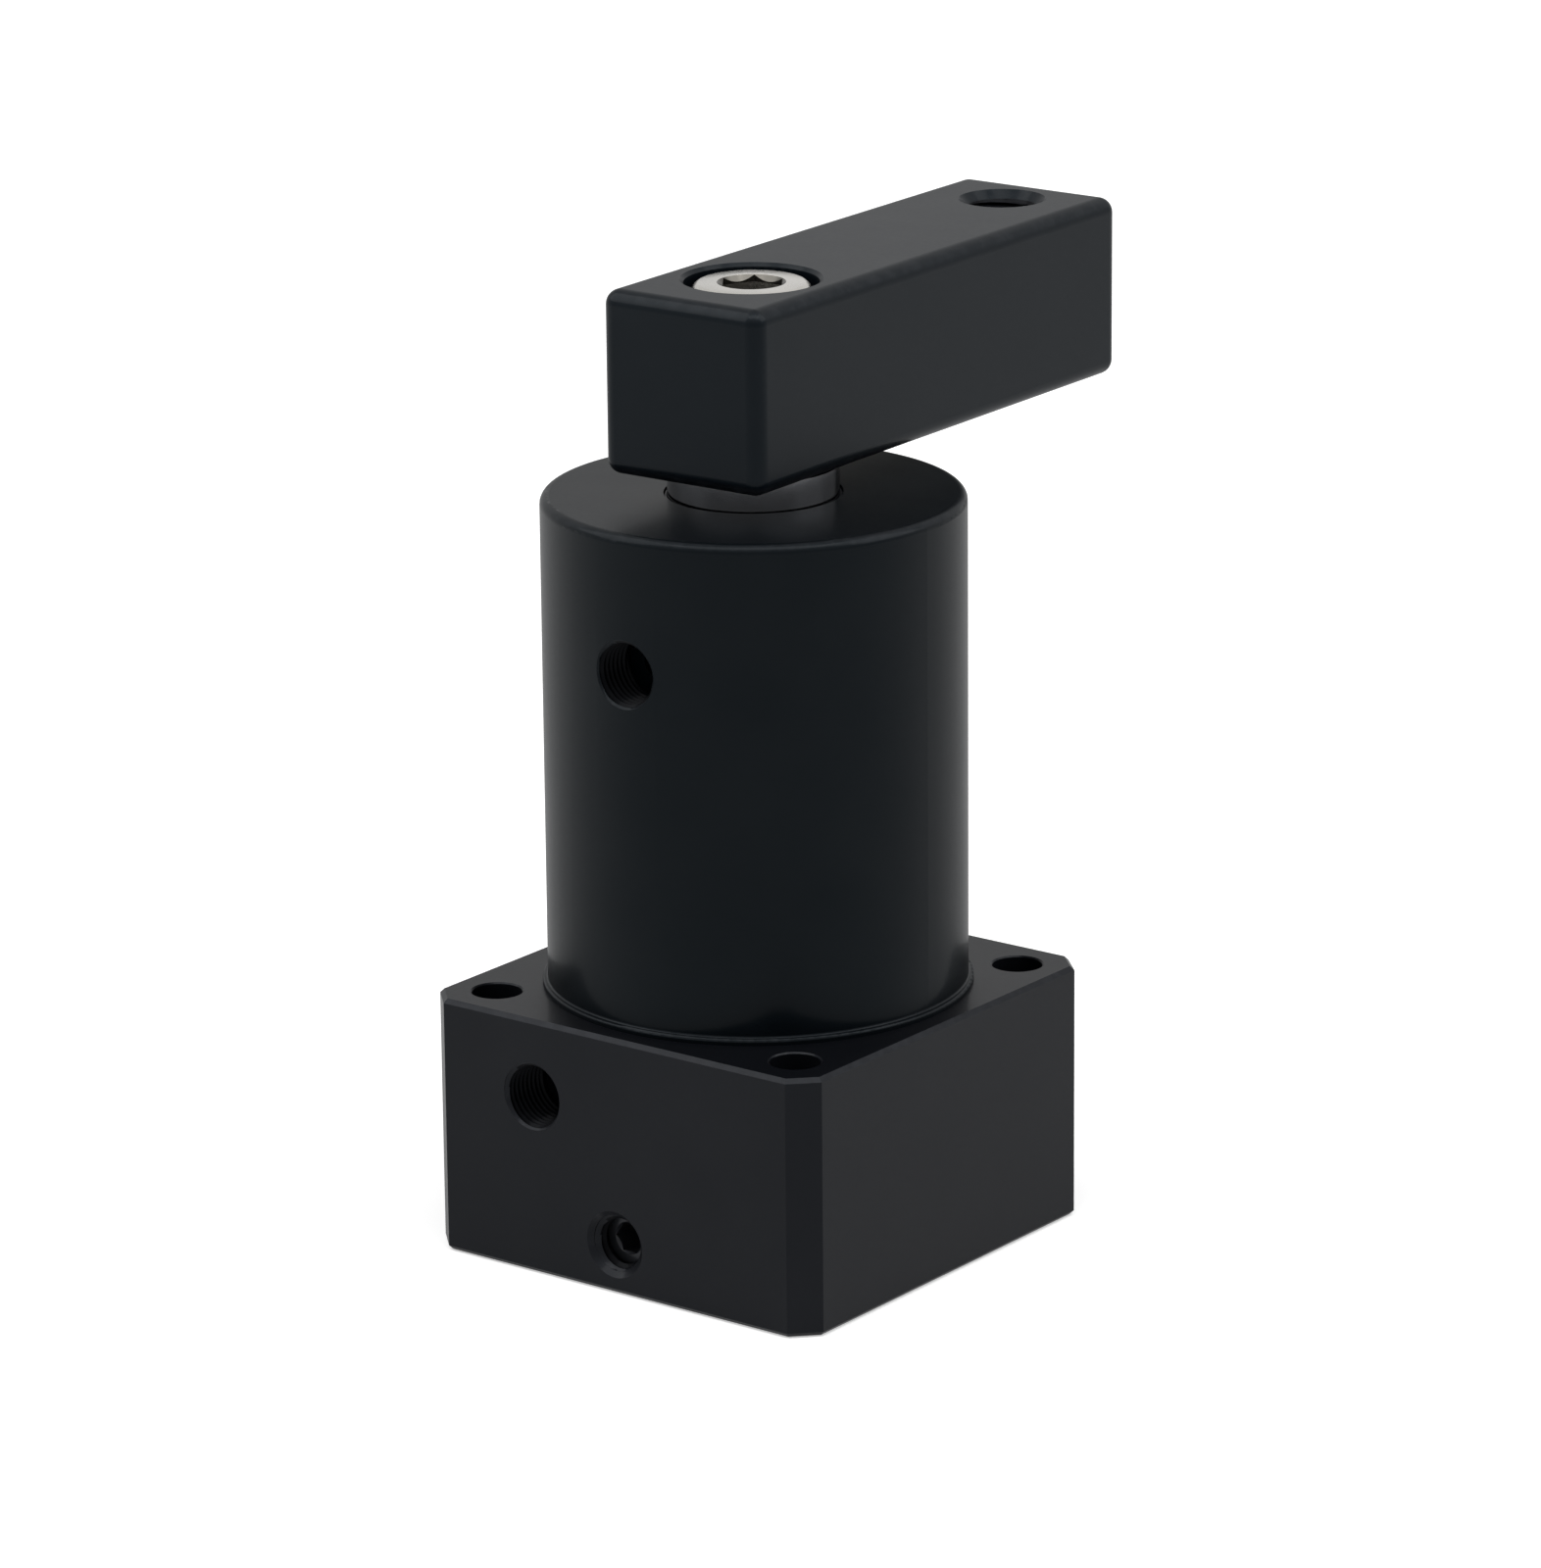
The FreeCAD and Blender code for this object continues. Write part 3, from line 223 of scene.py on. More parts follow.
# Edge colour: partly worn steel, partly a painted highlight along the edges and the barrel's rim.
WORN_AND_GLINTING_STEEL = (0.018, 0.019, 0.022)
EDGE_WEAR_AND_GLINT = 0.5
PATCH_SHARE = 0.5
MARK_SHARE = 0.6


def make_blackened_steel(name, dark, light, low, high, shine, tint, oil, marks, depth):
    """Blackened steel under a film of oil, with fine marks of its machining, painted paler on the
    edges, partly as wear and partly as a painted highlight.
    """
    material, tree, shader = new_material(name, {
        "Specular IOR Level": shine, "Specular Tint": (*tint, 1), "Coat Roughness": OIL_ROUGHNESS,
    })
    skin = use_group(tree, skin_group, Low=low, High=high)
    film = spread(tree, skin.outputs["Patch"], 0, 1, oil * THIN_FILM, oil * THICK_FILM)
    tree.links.new(film, shader.inputs["Coat Weight"])
    # Edges painted paler, as wear and as a painted highlight.
    edges = use_group(tree, edge_group, Amount=EDGE_WEAR_AND_GLINT)
    worn_and_glinting = blend_colours(tree, edges.outputs["Mask"], dark, WORN_AND_GLINTING_STEEL)
    shade = tree.nodes.new("ShaderNodeMix")
    shade.data_type = "RGBA"
    shade.inputs["B"].default_value = (*light, 1)
    tree.links.new(worn_and_glinting, shade.inputs["A"])
    patch = calculate(tree, "MULTIPLY", skin.outputs["Patch"], PATCH_SHARE)
    tree.links.new(patch, shade.inputs["Factor"])
    tree.links.new(shade.outputs["Result"], shader.inputs["Base Color"])
    tree.links.new(skin.outputs["Roughness"], shader.inputs["Roughness"])
    lines = use_group(tree, marks)
    height = calculate(
        tree, "MULTIPLY_ADD", lines.outputs["Height"], MARK_SHARE, skin.outputs["Height"])
    bump(tree, shader, height, depth)
    return material


def dress(node, material):
    """Gives a node of the frame its finish."""
    mesh = frame["nodes"][node].data
    mesh.materials.clear()
    mesh.materials.append(material)


block_steel = make_blackened_steel(
    "block_steel", dark=(0.0012, 0.0014, 0.002), light=(0.002, 0.0022, 0.003), low=0.44, high=0.5,
    shine=0.08, tint=(0.7, 0.8, 1.0), oil=0.12, marks=grinding_group, depth=1.5e-6)
dress("base_block", block_steel)

# Barrel: a cup turned from bar with its closed head on top, screwed into the block by its lower end.
# It is blackened like the block, with finer turning marks and a rounded upper rim.
def make_lathe_group():
    """Fine rings that a turning tool leaves round the Z axis, on walls and end faces."""
    group, start, end = new_group("lathe_rings", {"Lines": 4200.0}, ("Height",))
    place = group.nodes.new("ShaderNodeSeparateXYZ")
    group.links.new(group.nodes.new("ShaderNodeTexCoord").outputs["Object"], place.inputs[0])
    squares = [calculate(group, "MULTIPLY", place.outputs[axis], place.outputs[axis]) for axis in "XY"]
    distance = calculate(group, "SQRT", calculate(group, "ADD", *squares))
    line = calculate(group, "ADD", distance, place.outputs["Z"])
    marks = noise(group, line, start.outputs["Lines"], detail=2, kind="1D")
    group.links.new(marks, end.inputs["Height"])
    return group


lathe_group = make_lathe_group()
barrel_steel = make_blackened_steel(
    "barrel_steel", dark=(0.0006, 0.001, 0.0016), light=(0.001, 0.0015, 0.0022), low=0.44, high=0.5,
    shine=0.055, tint=(0.5, 0.8, 1.0), oil=0.095, marks=lathe_group, depth=1.2e-6)
dress("barrel", barrel_steel)

# Threads of the two oil ports: parallel pipe threads, 28 turns to the inch, cut by a tap.
# The tap leaves crests at the width of the drilled hole, with the mouth lightly countersunk.
# Their steel is painted darker and duller than the faces round them, as shade inside the holes.
PIPE_PITCH = 25.4 / 28 * MM
PIPE_CREST = 8.566 / 2 * MM
PORT_MOUTH = 4.8 * MM
PORT_RUN_OUT = 1.4 * MM
TURN_STEPS = 72
THREAD_PHASES = (0.06, 0.25, 0.44, 0.56, 0.75, 0.94)
TURNS_BEFORE = 2
CREST_SHARE = 0.12
FLANK_SHARE = 0.76
SKIN = 0.02 * MM
WELD = 0.001 * MM


def thread_depth(phase):
    """Depth of a thread's groove, from 0 on the crest to 1 at the root, over one turn."""
    return min(1, max(0, (abs(2 * (phase % 1) - 1) - CREST_SHARE) / FLANK_SHARE))


def add_band(mesh, near, far):
    """Faces between two closed rows of corners, in the order of the rows."""
    return [
        mesh.faces.new(corners)
        for corners in zip(near, near[1:] + near[:1], far[1:] + far[:1], far)
    ]


def make_tapped_wall(place, hole, crest, mouth, pitch, length, run_out=0, far_mouth=0, face=None):
    """Closed sleeve that lines a hole with a tapped thread, from the mouth along the place's Z axis.

    Each mouth radius starts a countersink, the thread fades to the drilled wall over the run-out,
    and the face function gives the depth of the part's surface at a radius and an angle.
    The faces of the first countersink take the piece's second material.
    """
    mesh = bmesh.new()
    root = hole - SKIN
    turns = math.ceil(length / pitch) + 1
    rows = []
    levels = []
    for step in range(TURN_STEPS + 1):
        angle = math.tau * step / TURN_STEPS
        first = face(hole, angle) if face else 0
        column = []
        for turn in range(-TURNS_BEFORE, turns):
            for phase in THREAD_PHASES:
                depth = min(length, max(first, (turn + phase + angle / math.tau) * pitch))
                cut = thread_depth(depth / pitch - angle / math.tau)
                if run_out:
                    cut *= min(1, (length - depth) / run_out)
                countersink = max(mouth - (depth - first), far_mouth - (length - depth))
                column.append((min(root, max(crest + (root - crest) * cut, countersink)), depth))
        rim = face(column[0][0], angle) if face else 0
        column[0] = (column[0][0], rim)
        column = [(hole + SKIN, length), (hole + SKIN, first + SKIN / 2)] + column
        levels.append([depth - first for _, depth in column])
        rows.append([
            mesh.verts.new(place @ Vector((radius * math.cos(angle), radius * math.sin(angle), depth)))
            for radius, depth in column
        ])
    for near, far, level in zip(rows, rows[1:], levels):
        for wall, here, after in zip(add_band(mesh, near, far), level, level[1:] + level[:1]):
            wall.material_index = int(max(here, after) < mouth - crest)
    bmesh.ops.remove_doubles(mesh, verts=mesh.verts, dist=WELD)
    return mesh


def finish_piece(name, mesh, body, material, sharp=35):
    """Object from a finished mesh, smooth where its faces meet at a low angle, riding on a body."""
    bmesh.ops.recalc_face_normals(mesh, faces=mesh.faces)
    data = bpy.data.meshes.new(name)
    mesh.to_mesh(data)
    mesh.free()
    data.shade_smooth()
    data.set_sharp_from_angle(angle=math.radians(sharp))
    data.materials.append(material)
    piece = bpy.data.objects.new(name, data)
    bpy.context.scene.collection.objects.link(piece)
    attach(piece, body)
    return piece


def place_along(start, axis):
    """Placement at a point whose Z axis points along a direction."""
    return Matrix.Translation(start) @ Vector(axis).to_track_quat("Z", "Y").to_matrix().to_4x4()


# Steel of the tapped walls, painted dark as the shade inside the holes; each first countersink keeps
# the face's steel.
shaded_hole_steel = make_blackened_steel(
    "shaded_hole_steel", dark=(0.0005, 0.0006, 0.0009), light=(0.0008, 0.0009, 0.0013), low=0.3, high=0.4,
    shine=0.018, tint=(0.7, 0.8, 1.0), oil=0.04, marks=grinding_group, depth=1e-6)
mounts = {mount["name"]: mount for mount in frame["record"]["mounts"]}
block_low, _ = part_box("base_block")
barrel_low, barrel_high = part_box("barrel")
barrel_radius = max(corner.co.to_2d().length for corner in frame["nodes"]["barrel"].data.vertices
                    if corner.co.z > (barrel_low.z + barrel_high.z) / 2)


def barrel_face(radius, angle):
    """Depth of the barrel's round wall below its foremost line."""
    return barrel_radius - math.sqrt(barrel_radius ** 2 - (radius * math.cos(angle)) ** 2)


for name, front, face, steel in (("lower_port", block_low.y, None, block_steel),
                                 ("upper_port", -barrel_radius, barrel_face, barrel_steel)):
    mount = mounts[name]
    middle = Vector(mount["pos_m"])
    half = mount["dims"]["length_mm"] / 2 * MM
    floor_depth = middle.y + half - front
    mesh = make_tapped_wall(place_along(Vector((middle.x, front, middle.z)), (0, 1, 0)),
                            mount["dims"]["r_mm"] * MM, PIPE_CREST, PORT_MOUTH, PIPE_PITCH, floor_depth,
                            run_out=PORT_RUN_OUT, face=face)
    thread = finish_piece(f"{name}_thread", mesh, "housing", shaded_hole_steel)
    thread.data.materials.append(steel)

# Guide shaft: stands in the block's floor and turns the rod by three helical grooves.
# It is hardened and ground, and so are the pins that run in the grooves.
# The piston and its nut are turned from the same steel, left bright.
def make_bright_metal(name, dull, bright, low, high, depth, lines):
    """Bare or plated metal with turning marks and a faintly uneven shine."""
    material, tree, shader = new_material(name, {"Metallic": 1.0})
    skin = use_group(tree, skin_group, Low=low, High=high)
    shade = blend_colours(tree, skin.outputs["Patch"], dull, bright)
    tree.links.new(shade, shader.inputs["Base Color"])
    tree.links.new(skin.outputs["Roughness"], shader.inputs["Roughness"])
    bump(tree, shader, use_group(tree, lathe_group, Lines=lines).outputs["Height"], depth)
    return material


hardened_steel = make_bright_metal(
    "hardened_steel", dull=(0.42, 0.42, 0.43), bright=(0.5, 0.5, 0.51), low=0.2, high=0.3,
    depth=1e-6, lines=6000.0)
for node in ("guide_shaft", "guide_pin_1", "guide_pin_2", "guide_pin_3", "piston", "piston_nut"):
    dress(node, hardened_steel)

# Lock screw of the guide shaft: a set screw with a hexagon socket, blackened, with a cone point.
# It sits a few millimetres deep in its tapped hole on the left face.
# The thread of the hole shows between its mouth and the screw.
HEXAGON_SIDES = 6
MOUTH_MARGIN = 1.01
MOUTH_SLOPE = math.tan(math.radians(50))
DRILL_RADIUS = 0.42
DRILL_TIP = 0.02
DRILL_LEVEL = 0.02
DRILL_POINT = 0.22
THREAD_STEPS = 48
RIDGE_FOOT = 0.44
RIDGE_TOP = 0.1
RIDGE_START = 0.15
RIDGE_GROWTH = 2


def add_shell(mesh, rings):
    """Joins each ring of points to the next, and closes both ends."""
    rows = [[mesh.verts.new(point) for point in ring] for ring in rings]
    for near, far in zip(rows, rows[1:]):
        add_band(mesh, near, far)
    mesh.faces.new(rows[0])
    mesh.faces.new(rows[-1])


def add_thread(mesh, place, root, crest, pitch, length):
    """Helical ridge from the root radius to the crest radius along the place's Z axis.

    Its foot and top are shares of the pitch, and it grows from a low start at both ends.
    """
    turns = length / pitch - 1
    rings = []
    for step in range(round(turns * THREAD_STEPS) + 1):
        turn = step / THREAD_STEPS
        grown = min(1, RIDGE_START + min(turn, turns - turn) * RIDGE_GROWTH)
        top = root + (crest - root) * grown
        middle = (turn + 0.5) * pitch
        angle = math.tau * turn
        section = (
            (root, middle - RIDGE_FOOT * pitch), (top, middle - RIDGE_TOP * pitch),
            (top, middle + RIDGE_TOP * pitch), (root, middle + RIDGE_FOOT * pitch),
        )
        rings.append([
            place @ Vector((radius * math.cos(angle), radius * math.sin(angle), height))
            for radius, height in section
        ])
    add_shell(mesh, rings)


def turned_rings(profile, steps):
    """Rings of points round the Z axis; a radius or height may be a function of the angle."""
    rings = []
    for radius, height in profile:
        points = []
        for step in range(steps):
            angle = math.tau * step / steps
            distance = radius(angle) if callable(radius) else radius
            level = height(angle) if callable(height) else height
            points.append(Vector((distance * math.cos(angle), distance * math.sin(angle), level)))
        rings.append(points)
    return rings


def hexagon_radius(across_flats, turned_by):
    """Distance from the axis to a hexagon's outline, as a function of the angle."""
    side = math.tau / HEXAGON_SIDES

    def radius(angle):
        return across_flats / 2 / math.cos(((angle - turned_by) % side) - side / 2)
    return radius


def socket_profile(top, across_flats, depth, turned_by=0):
    """Radius and height of the rings of a hexagon socket, from its coned mouth to its drilled floor."""
    wall = hexagon_radius(across_flats, turned_by)
    mouth = across_flats / 2 / math.cos(math.pi / HEXAGON_SIDES) * MOUTH_MARGIN

    def mouth_level(angle):
        return top - (mouth - wall(angle)) * MOUTH_SLOPE
    return [
        (mouth, top),
        (wall, mouth_level),
        (wall, top - depth),
        (across_flats * DRILL_RADIUS, top - depth - DRILL_LEVEL * across_flats),
        (across_flats * DRILL_TIP, top - depth - DRILL_POINT * across_flats),
    ]


def placed(rings, place):
    """The rings, moved to a place."""
    return [[place @ point for point in points] for points in rings]


black_screw_steel = make_blackened_steel(
    "black_screw_steel", dark=(0.004, 0.0043, 0.005), light=(0.007, 0.0074, 0.008), low=0.4, high=0.5,
    shine=0.2, tint=(0.8, 0.85, 1.0), oil=0.25, marks=lathe_group, depth=2e-6)
dress("nut_lock_screw", black_screw_steel)

lock_low, lock_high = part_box("guide_lock_screw")
lock_radius = (lock_high.x - lock_low.x) / 2
lock_length = lock_high.y - lock_low.y
lock_place = place_along(Vector((0, lock_high.y, (lock_low.z + lock_high.z) / 2)), (0, -1, 0))
CORE_SHARE = 0.61
LOCK_PITCH = 1.25 * MM
LOCK_KEY = 4 * MM
LOCK_STEPS = 120
POINT_RADIUS = 0.02 * MM
COLLAR_HEIGHT = 0.8 * MM
COLLAR_INSET = 0.1 * MM
RIM_HEIGHT = 0.4 * MM
RIM_INSET = 0.35 * MM
LOCK_THREAD_END = 0.5 * MM
lock_core = lock_radius - CORE_SHARE * LOCK_PITCH
mesh = bmesh.new()
add_shell(mesh, placed(turned_rings([
    (POINT_RADIUS, 0),
    (lock_core, lock_core),
    (lock_core, lock_length - COLLAR_HEIGHT),
    (lock_radius - COLLAR_INSET, lock_length - RIM_HEIGHT),
    (lock_radius - RIM_INSET, lock_length),
    *socket_profile(lock_length, LOCK_KEY, LOCK_KEY),
], LOCK_STEPS), lock_place))
add_thread(mesh, lock_place @ Matrix.Translation((0, 0, lock_core)), lock_core, lock_radius, LOCK_PITCH,
           lock_length - lock_core - LOCK_THREAD_END)
lock_screw = finish_piece("lock_screw_detail", mesh, "housing", black_screw_steel)
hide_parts("guide_lock_screw")

THREAD_CLEARANCE = 0.05 * MM
LOCK_CHAMFER = 0.7 * MM
CREST_GAP = 0.1 * MM
END_GAP = 0.1 * MM
lock_hole = lock_radius + THREAD_CLEARANCE
lock_mouth = Vector((0, block_low.y + LOCK_CHAMFER, (lock_low.z + lock_high.z) / 2))
mesh = make_tapped_wall(place_along(lock_mouth, (0, 1, 0)), lock_hole, lock_core + CREST_GAP, lock_hole,
                        LOCK_PITCH, lock_low.y - lock_mouth.y - END_GAP)
lock_hole_thread = finish_piece("lock_hole_thread", mesh, "housing", shaded_hole_steel)
lock_hole_thread.data.materials.append(block_steel)

# Rod guidance in the head: a bronze bushing below, then a lip seal, then the wiper at the top.
# The seals are moulded rings; only the wiper's lip shows, in the gap round the rod.
bronze = make_bright_metal(
    "bronze", dull=(0.5, 0.3, 0.13), bright=(0.62, 0.4, 0.19), low=0.25, high=0.4,
    depth=1e-6, lines=5000.0)
dress("rod_bushing", bronze)


def make_moulding(name, colour, bloom, low, high, depth):
    """Moulded seal material with a faint bloom."""
    material, tree, shader = new_material(name, {"Specular IOR Level": 0.35})
    skin = use_group(tree, skin_group, Low=low, High=high)
    shade = blend_colours(tree, skin.outputs["Patch"], colour, bloom)
    tree.links.new(shade, shader.inputs["Base Color"])
    tree.links.new(skin.outputs["Roughness"], shader.inputs["Roughness"])
    bump(tree, shader, skin.outputs["Height"], depth)
    return material


polyurethane = make_moulding(
    "polyurethane", colour=(0.008, 0.009, 0.012), bloom=(0.014, 0.015, 0.018), low=0.4, high=0.55,
    depth=2e-6)
RING_STEPS = 144
SEAL_NOTCH = 2.4 * MM
WIPER_SHOULDER = 0.85 * MM
WIPER_RELIEF = 0.5 * MM
WIPER_LIP = 0.35 * MM
WIPER_ROOT = 0.4 * MM
LIP_PARTS = 5
CORNER_SHARE = 0.25


def rounded(section):
    """Section with its corners cut twice, each time at a quarter of both sides."""
    for _ in range(2):
        cut = []
        for point, after in zip(section, section[1:] + section[:1]):
            cut += [point.lerp(after, CORNER_SHARE), point.lerp(after, 1 - CORNER_SHARE)]
        section = cut
    return section


def make_seal(node, section, body, material):
    """Moulded ring with rounded corners that stands for a seal of the frame."""
    points = rounded([Vector(corner) for corner in section])
    mesh = bmesh.new()
    rows = []
    for step in range(RING_STEPS):
        angle = math.tau * step / RING_STEPS
        rows.append([
            mesh.verts.new((point.x * math.cos(angle), point.x * math.sin(angle), point.y))
            for point in points
        ])
    for near, far in zip(rows, rows[1:] + rows[:1]):
        add_band(mesh, near, far)
    seal = finish_piece(f"{node}_moulding", mesh, body, material, sharp=60)
    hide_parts(node)


def reach(node):
    """Inner and outer radius, and lower and upper end, of a ring of the frame."""
    distances = [corner.co.to_2d().length for corner in frame["nodes"][node].data.vertices]
    low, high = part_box(node)
    return min(distances), max(distances), low.z, high.z


inner, outer, bottom, top = reach("rod_seal")
lip = (outer - inner) / LIP_PARTS
notch = bottom + SEAL_NOTCH
make_seal("rod_seal", [
    (inner, bottom), (inner + lip, bottom), (inner + 2 * lip, notch), (outer - 2 * lip, notch),
    (outer - lip, bottom), (outer, bottom), (outer, top), (inner, top),
], "housing", polyurethane)

inner, outer, bottom, top = reach("rod_wiper")
shoulder = top - WIPER_SHOULDER
relieved = inner + WIPER_RELIEF
make_seal("rod_wiper", [
    (relieved, bottom), (outer, bottom), (outer, shoulder), (relieved, shoulder),
    (inner + WIPER_LIP, top), (inner, top), (inner, shoulder - WIPER_ROOT), (relieved, shoulder - MM),
], "housing", polyurethane)

# O-rings: of the barrel's seat, the guide shaft's foot, the piston's seal and the piston on the rod.
# Each is nitrile rubber, squeezed a little flat in its groove.
nitrile = make_moulding(
    "nitrile", colour=(0.006, 0.006, 0.006), bloom=(0.012, 0.012, 0.012), low=0.45, high=0.6,
    depth=3e-6)
OVAL_STEPS = 10
OVAL_POWER = 0.7
for node, body in (("barrel_seal", "housing"), ("guide_shaft_seal", "housing"),
                   ("piston_seal_loader", "piston"), ("piston_inner_seal", "piston")):
    inner, outer, bottom, top = reach(node)
    oval = []
    for step in range(OVAL_STEPS):
        angle = math.tau * (step + 0.5) / OVAL_STEPS
        swell = [math.copysign(abs(part) ** OVAL_POWER, part)
                 for part in (math.cos(angle), math.sin(angle))]
        oval.append(((inner + outer) / 2 + swell[0] * (outer - inner) / 2,
                     (bottom + top) / 2 + swell[1] * (top - bottom) / 2))
    make_seal(node, oval, body, nitrile)

# Piston rings: a seal and two split guide rings of bronze-filled fluoropolymer, turned from tube.
# They lie in grooves of the piston and keep its steel off the wall of the bore.
filled_ptfe = make_moulding(
    "filled_ptfe", colour=(0.11, 0.085, 0.06), bloom=(0.15, 0.12, 0.09), low=0.4, high=0.5,
    depth=2e-6)
for node in ("piston_seal", "piston_guide_ring_lower", "piston_guide_ring_upper"):
    dress(node, filled_ptfe)

# Piston rod: hard chromed and ground, hollow below for the guide shaft, tapered above for the arm.
# A short length of its chrome shows under the arm, and more of it as the rod rises.
rod_chrome = make_bright_metal(
    "rod_chrome", dull=(0.24, 0.245, 0.26), bright=(0.27, 0.275, 0.29), low=0.12, high=0.2,
    depth=4e-7, lines=7000.0)
dress("piston_rod", rod_chrome)

# Clamp arm: a square bar with a tapered bore for the rod, rounded edges and a tapped hole at its tip.
# It is milled, ground and blackened; a screw in a counterbore draws it down on the rod.
arm_steel = make_blackened_steel(
    "arm_steel", dark=(0.0005, 0.001, 0.002), light=(0.0009, 0.0015, 0.0028), low=0.44, high=0.5,
    shine=0.065, tint=(0.5, 0.8, 1.0), oil=0.115, marks=grinding_group, depth=1.2e-6)
dress("clamp_arm", arm_steel)
TIP_PITCH = 1.5 * MM
TIP_CREST = 8.376 / 2 * MM
tip = mounts["arm_tip_thread"]
tip_hole = tip["dims"]["r_mm"] * MM
tip_length = tip["dims"]["length_mm"] * MM
tip_start = Vector(tip["pos_m"]) - Vector((0, 0, tip_length / 2))
mesh = make_tapped_wall(place_along(tip_start, (0, 0, 1)), tip_hole, TIP_CREST, tip_hole, TIP_PITCH,
                        tip_length, far_mouth=tip_hole)
tip_thread = finish_piece("arm_tip_thread", mesh, "rod", shaded_hole_steel)
tip_thread.data.materials.append(arm_steel)

# Arm screw: a stainless socket head screw whose head has a straight knurl and a turned top.
# It stands a little below the arm's top face, in the middle of the counterbore.
KNURL_RIDGES = 60
KNURL_DEPTH = 0.25 * MM
BEVEL_REACH = 0.7 * MM
BEVEL_SLOPE = 0.85
BEVEL_BEND = 0.9
BEVEL_DROP = 0.1
BEVEL_END = 1.15
KEY_TURN = math.radians(2.4)
HEAD_HEIGHT = 10 * MM
SHANK_RADIUS = 5 * MM
ARM_KEY = 8 * MM
ARM_KEY_DEPTH = 5 * MM
SOCKET_MOUTH = 4.66 * MM
# Depths and colour of the shade painted into the socket of the arm screw.
SHADED_MOUTH_DEPTH = 1 * MM
SHADED_FLOOR_DEPTH = 3.5 * MM
SHADE_START = 0.01 * MM
SOCKET_SHADE = (0.08, 0.076, 0.068)
screw_steel = make_bright_metal(
    "screw_steel", dull=(0.38, 0.37, 0.345), bright=(0.55, 0.53, 0.5), low=0.2, high=0.36,
    depth=1e-5, lines=2600.0)
_, head_radius, screw_tip, screw_top = reach("arm_screw")
seat = screw_top - HEAD_HEIGHT
shank_core = SHANK_RADIUS - CORE_SHARE * TIP_PITCH


def shade_socket(material):
    """Paints shade into a screw's steel, in the coned mouth and on the floor of its socket."""
    tree = material.node_tree
    colour = tree.nodes["Principled BSDF"].inputs["Base Color"]
    place = tree.nodes.new("ShaderNodeSeparateXYZ")
    tree.links.new(tree.nodes.new("ShaderNodeTexCoord").outputs["Object"], place.inputs[0])
    squares = [calculate(tree, "MULTIPLY", place.outputs[axis], place.outputs[axis]) for axis in "XY"]
    inside = calculate(tree, "LESS_THAN", calculate(tree, "ADD", *squares), SOCKET_MOUTH ** 2)
    depth = calculate(tree, "SUBTRACT", screw_top, place.outputs["Z"])
    mouth = calculate(tree, "MULTIPLY", calculate(tree, "GREATER_THAN", depth, SHADE_START),
                      calculate(tree, "LESS_THAN", depth, SHADED_MOUTH_DEPTH))
    floor = calculate(tree, "GREATER_THAN", depth, SHADED_FLOOR_DEPTH)
    mask = calculate(tree, "MULTIPLY", inside, calculate(tree, "MAXIMUM", mouth, floor))
    shaded = tree.nodes.new("ShaderNodeMix")
    shaded.data_type = "RGBA"
    shaded.inputs["B"].default_value = (*SOCKET_SHADE, 1)
    tree.links.new(colour.links[0].from_socket, shaded.inputs["A"])
    tree.links.new(mask, shaded.inputs["Factor"])
    tree.links.new(shaded.outputs["Result"], colour)


# The arm screw's socket gets painted shade in its mouth and on its floor.
shade_socket(screw_steel)


def knurl(angle):
    """Radius of the knurled wall of the head."""
    share = (angle * KNURL_RIDGES / math.tau) % 1
    return head_radius - KNURL_DEPTH * abs(2 * share - 1)


def bevel_level(angle):
    """Height at which the turned bevel of the head cuts the knurled wall."""
    return screw_top - (knurl(angle) - head_radius + BEVEL_REACH) * BEVEL_SLOPE


HEAD_STEPS = KNURL_RIDGES * 6
END_BREAK = 0.6 * MM
FOOT_BREAK = 0.4 * MM
KNURL_START = 0.5 * MM
THREAD_START = 0.4 * MM
THREAD_SPARE = 0.6 * MM
mesh = bmesh.new()
add_shell(mesh, turned_rings([
    (shank_core - END_BREAK, screw_tip),
    (shank_core, screw_tip + END_BREAK),
    (shank_core, seat),
    (head_radius - FOOT_BREAK, seat),
    (head_radius - KNURL_DEPTH, seat + FOOT_BREAK),
    (knurl, seat + KNURL_START),
    (knurl, bevel_level),
    (head_radius - BEVEL_REACH * BEVEL_BEND, screw_top - BEVEL_REACH * BEVEL_SLOPE * BEVEL_DROP),
    (head_radius - BEVEL_REACH * BEVEL_END, screw_top),
    *socket_profile(screw_top, ARM_KEY, ARM_KEY_DEPTH, KEY_TURN),
], HEAD_STEPS))
add_thread(mesh, Matrix.Translation((0, 0, screw_tip + THREAD_START)), shank_core, SHANK_RADIUS,
           TIP_PITCH, seat - screw_tip - THREAD_SPARE)
arm_screw = finish_piece("arm_screw_detail", mesh, "rod", screw_steel)
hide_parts("arm_screw")

# Studio: a plain pale floor in soft light from above and all round.
# The floor and the surroundings show white, and the floor keeps the object's shadow.
scene = bpy.context.scene
scene.view_settings.view_transform = "Standard"


def seen_directly(tree):
    """1 for rays from the camera, a mirror or glass, and 0 for those that light a surface."""
    path = tree.nodes.new("ShaderNodeLightPath").outputs
    kinds = [path[name] for name in ("Is Camera Ray", "Is Glossy Ray", "Is Transmission Ray")]
    return calculate(tree, "MAXIMUM", calculate(tree, "MAXIMUM", kinds[0], kinds[1]), kinds[2])


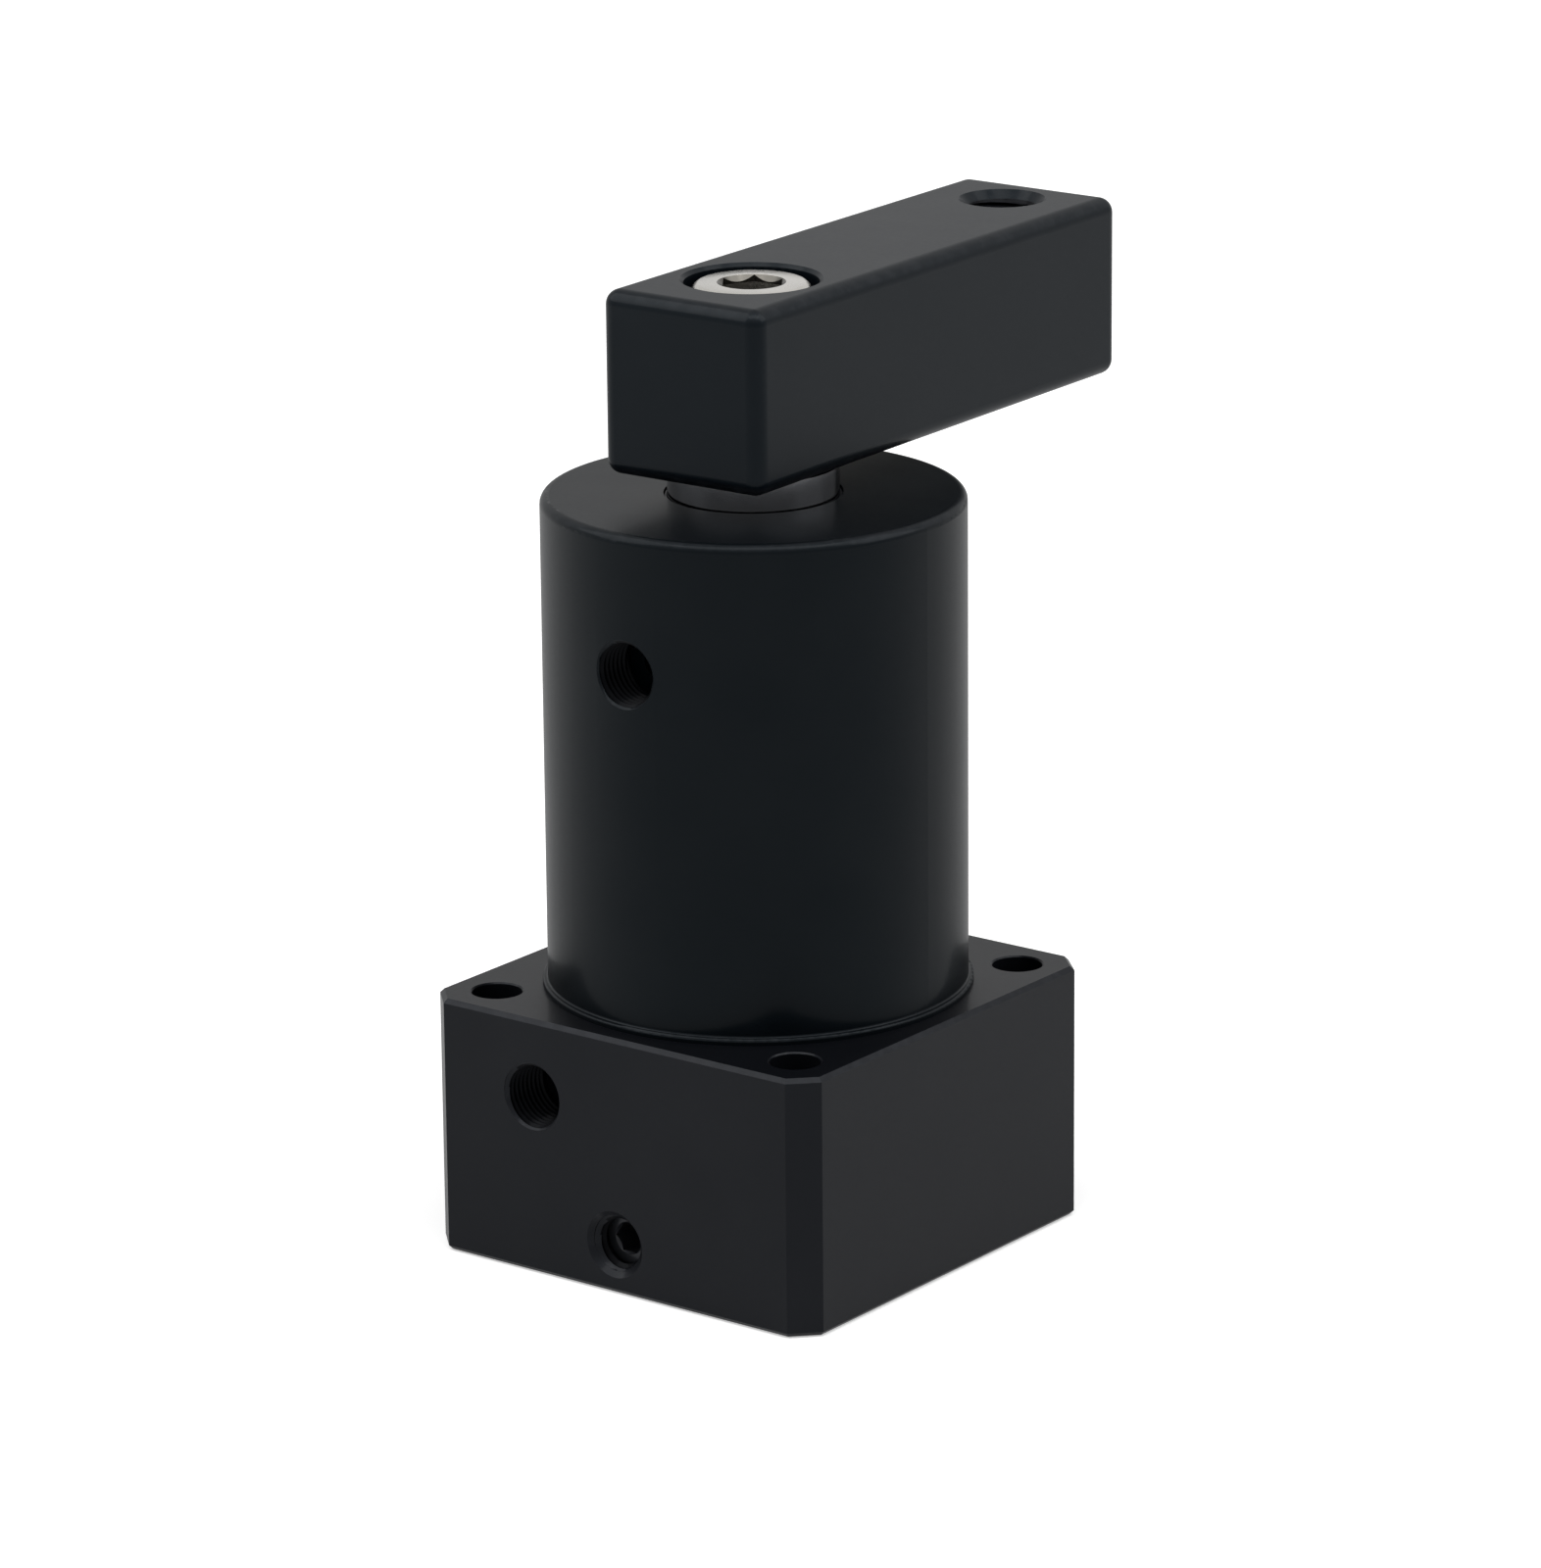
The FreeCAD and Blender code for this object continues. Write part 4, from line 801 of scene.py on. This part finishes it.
WORLD_STRENGTH = 0.25
world = bpy.data.worlds.new("studio")
world.use_nodes = True
scene.world = world
tree = world.node_tree
surroundings = tree.nodes["Background"]
surroundings.inputs["Strength"].default_value = WORLD_STRENGTH
white = tree.nodes.new("ShaderNodeBackground")
white.inputs["Color"].default_value = (1, 1, 1, 1)
surroundings.inputs["Color"].default_value = (1, 1, 1, 1)
choice = tree.nodes.new("ShaderNodeMixShader")
tree.links.new(seen_directly(tree), choice.inputs["Fac"])
tree.links.new(surroundings.outputs[0], choice.inputs[1])
tree.links.new(white.outputs[0], choice.inputs[2])
tree.links.new(choice.outputs[0], tree.nodes["World Output"].inputs["Surface"])

GLOW_START = 0.3
GLOW_END = 1.2
GLOW_NEAR = 0.42
GLOW_FAR = 0.85
floor_paint, tree, shader = new_material("floor_paint", {
    "Base Color": (0.8, 0.8, 0.8, 1), "Roughness": 0.9, "Specular IOR Level": 0.0,
})
glow = tree.nodes.new("ShaderNodeEmission")
glow.inputs["Color"].default_value = (1, 1, 1, 1)
length = tree.nodes.new("ShaderNodeVectorMath")
length.operation = "LENGTH"
tree.links.new(tree.nodes.new("ShaderNodeTexCoord").outputs["Object"], length.inputs[0])
whitening = spread(tree, length.outputs["Value"], GLOW_START, GLOW_END, GLOW_NEAR, GLOW_FAR)
tree.links.new(calculate(tree, "MULTIPLY", seen_directly(tree), whitening), glow.inputs["Strength"])
total = tree.nodes.new("ShaderNodeAddShader")
tree.links.new(shader.outputs[0], total.inputs[0])
tree.links.new(glow.outputs[0], total.inputs[1])
tree.links.new(total.outputs[0], tree.nodes["Material Output"].inputs["Surface"])

FLOOR_SIZE = 30
FLOOR_DROP = 0.1 * MM
bpy.ops.mesh.primitive_plane_add(size=FLOOR_SIZE, location=(0, 0, -FLOOR_DROP))
floor = bpy.context.object
floor.name = "floor"
floor.data.materials.append(floor_paint)

LAMP_AIM = Vector((0, 0, 0.06))


def add_panel(name, place, width, height, power):
    """Soft lamp that faces the middle of the object."""
    lamp = bpy.data.lights.new(name, "AREA")
    lamp.shape = "RECTANGLE"
    lamp.size = width
    lamp.size_y = height
    lamp.energy = power
    panel = bpy.data.objects.new(name, lamp)
    aim = LAMP_AIM - Vector(place)
    across = aim.cross(Vector((0, 0, 1))).normalized()
    panel.matrix_world = Matrix.Translation(place) @ Matrix((
        across, across.cross(aim).normalized(), -aim.normalized(),
    )).transposed().to_4x4()
    scene.collection.objects.link(panel)


add_panel("panel_above", place=(0.3, -0.4, 1.35), width=1.5, height=0.7, power=10.5)
add_panel("panel_left", place=(-0.75, -0.55, 0.95), width=1, height=1, power=8)
add_panel("panel_right", place=(0.82, 0.45, 0.95), width=1, height=1, power=8)

# Camera: a long lens in front of the corner between the two seen faces, a little above the object.
# It stands a metre away, is rolled by half a degree and looks at about the middle of the object.
AZIMUTH, ELEVATION, ROLL = (math.radians(angle) for angle in (37.278, 16.743, -0.535))
DISTANCE = 1016.09 * MM
AIM_HEIGHT = 64.286 * MM
AIM_RIGHT = 1.925 * MM
LENS = 170.4
SENSOR_WIDTH = 36
CLIP_START = 0.01
back = Vector((math.sin(AZIMUTH) * math.cos(ELEVATION), -math.cos(AZIMUTH) * math.cos(ELEVATION),
               math.sin(ELEVATION)))
right = Vector((0, 0, 1)).cross(back).normalized()
up = back.cross(right)
across = right * math.cos(ROLL) + up * math.sin(ROLL)
upward = up * math.cos(ROLL) - right * math.sin(ROLL)
camera = bpy.data.objects.new("camera", bpy.data.cameras.new("camera"))
camera.data.lens = LENS
camera.data.sensor_width = SENSOR_WIDTH
camera.data.clip_start = CLIP_START
place = Vector((0, 0, AIM_HEIGHT)) + right * AIM_RIGHT + back * DISTANCE
turn = Matrix((across, upward, back)).transposed()
camera.matrix_world = Matrix.Translation(place) @ turn.to_4x4()
scene.collection.objects.link(camera)
scene.camera = camera
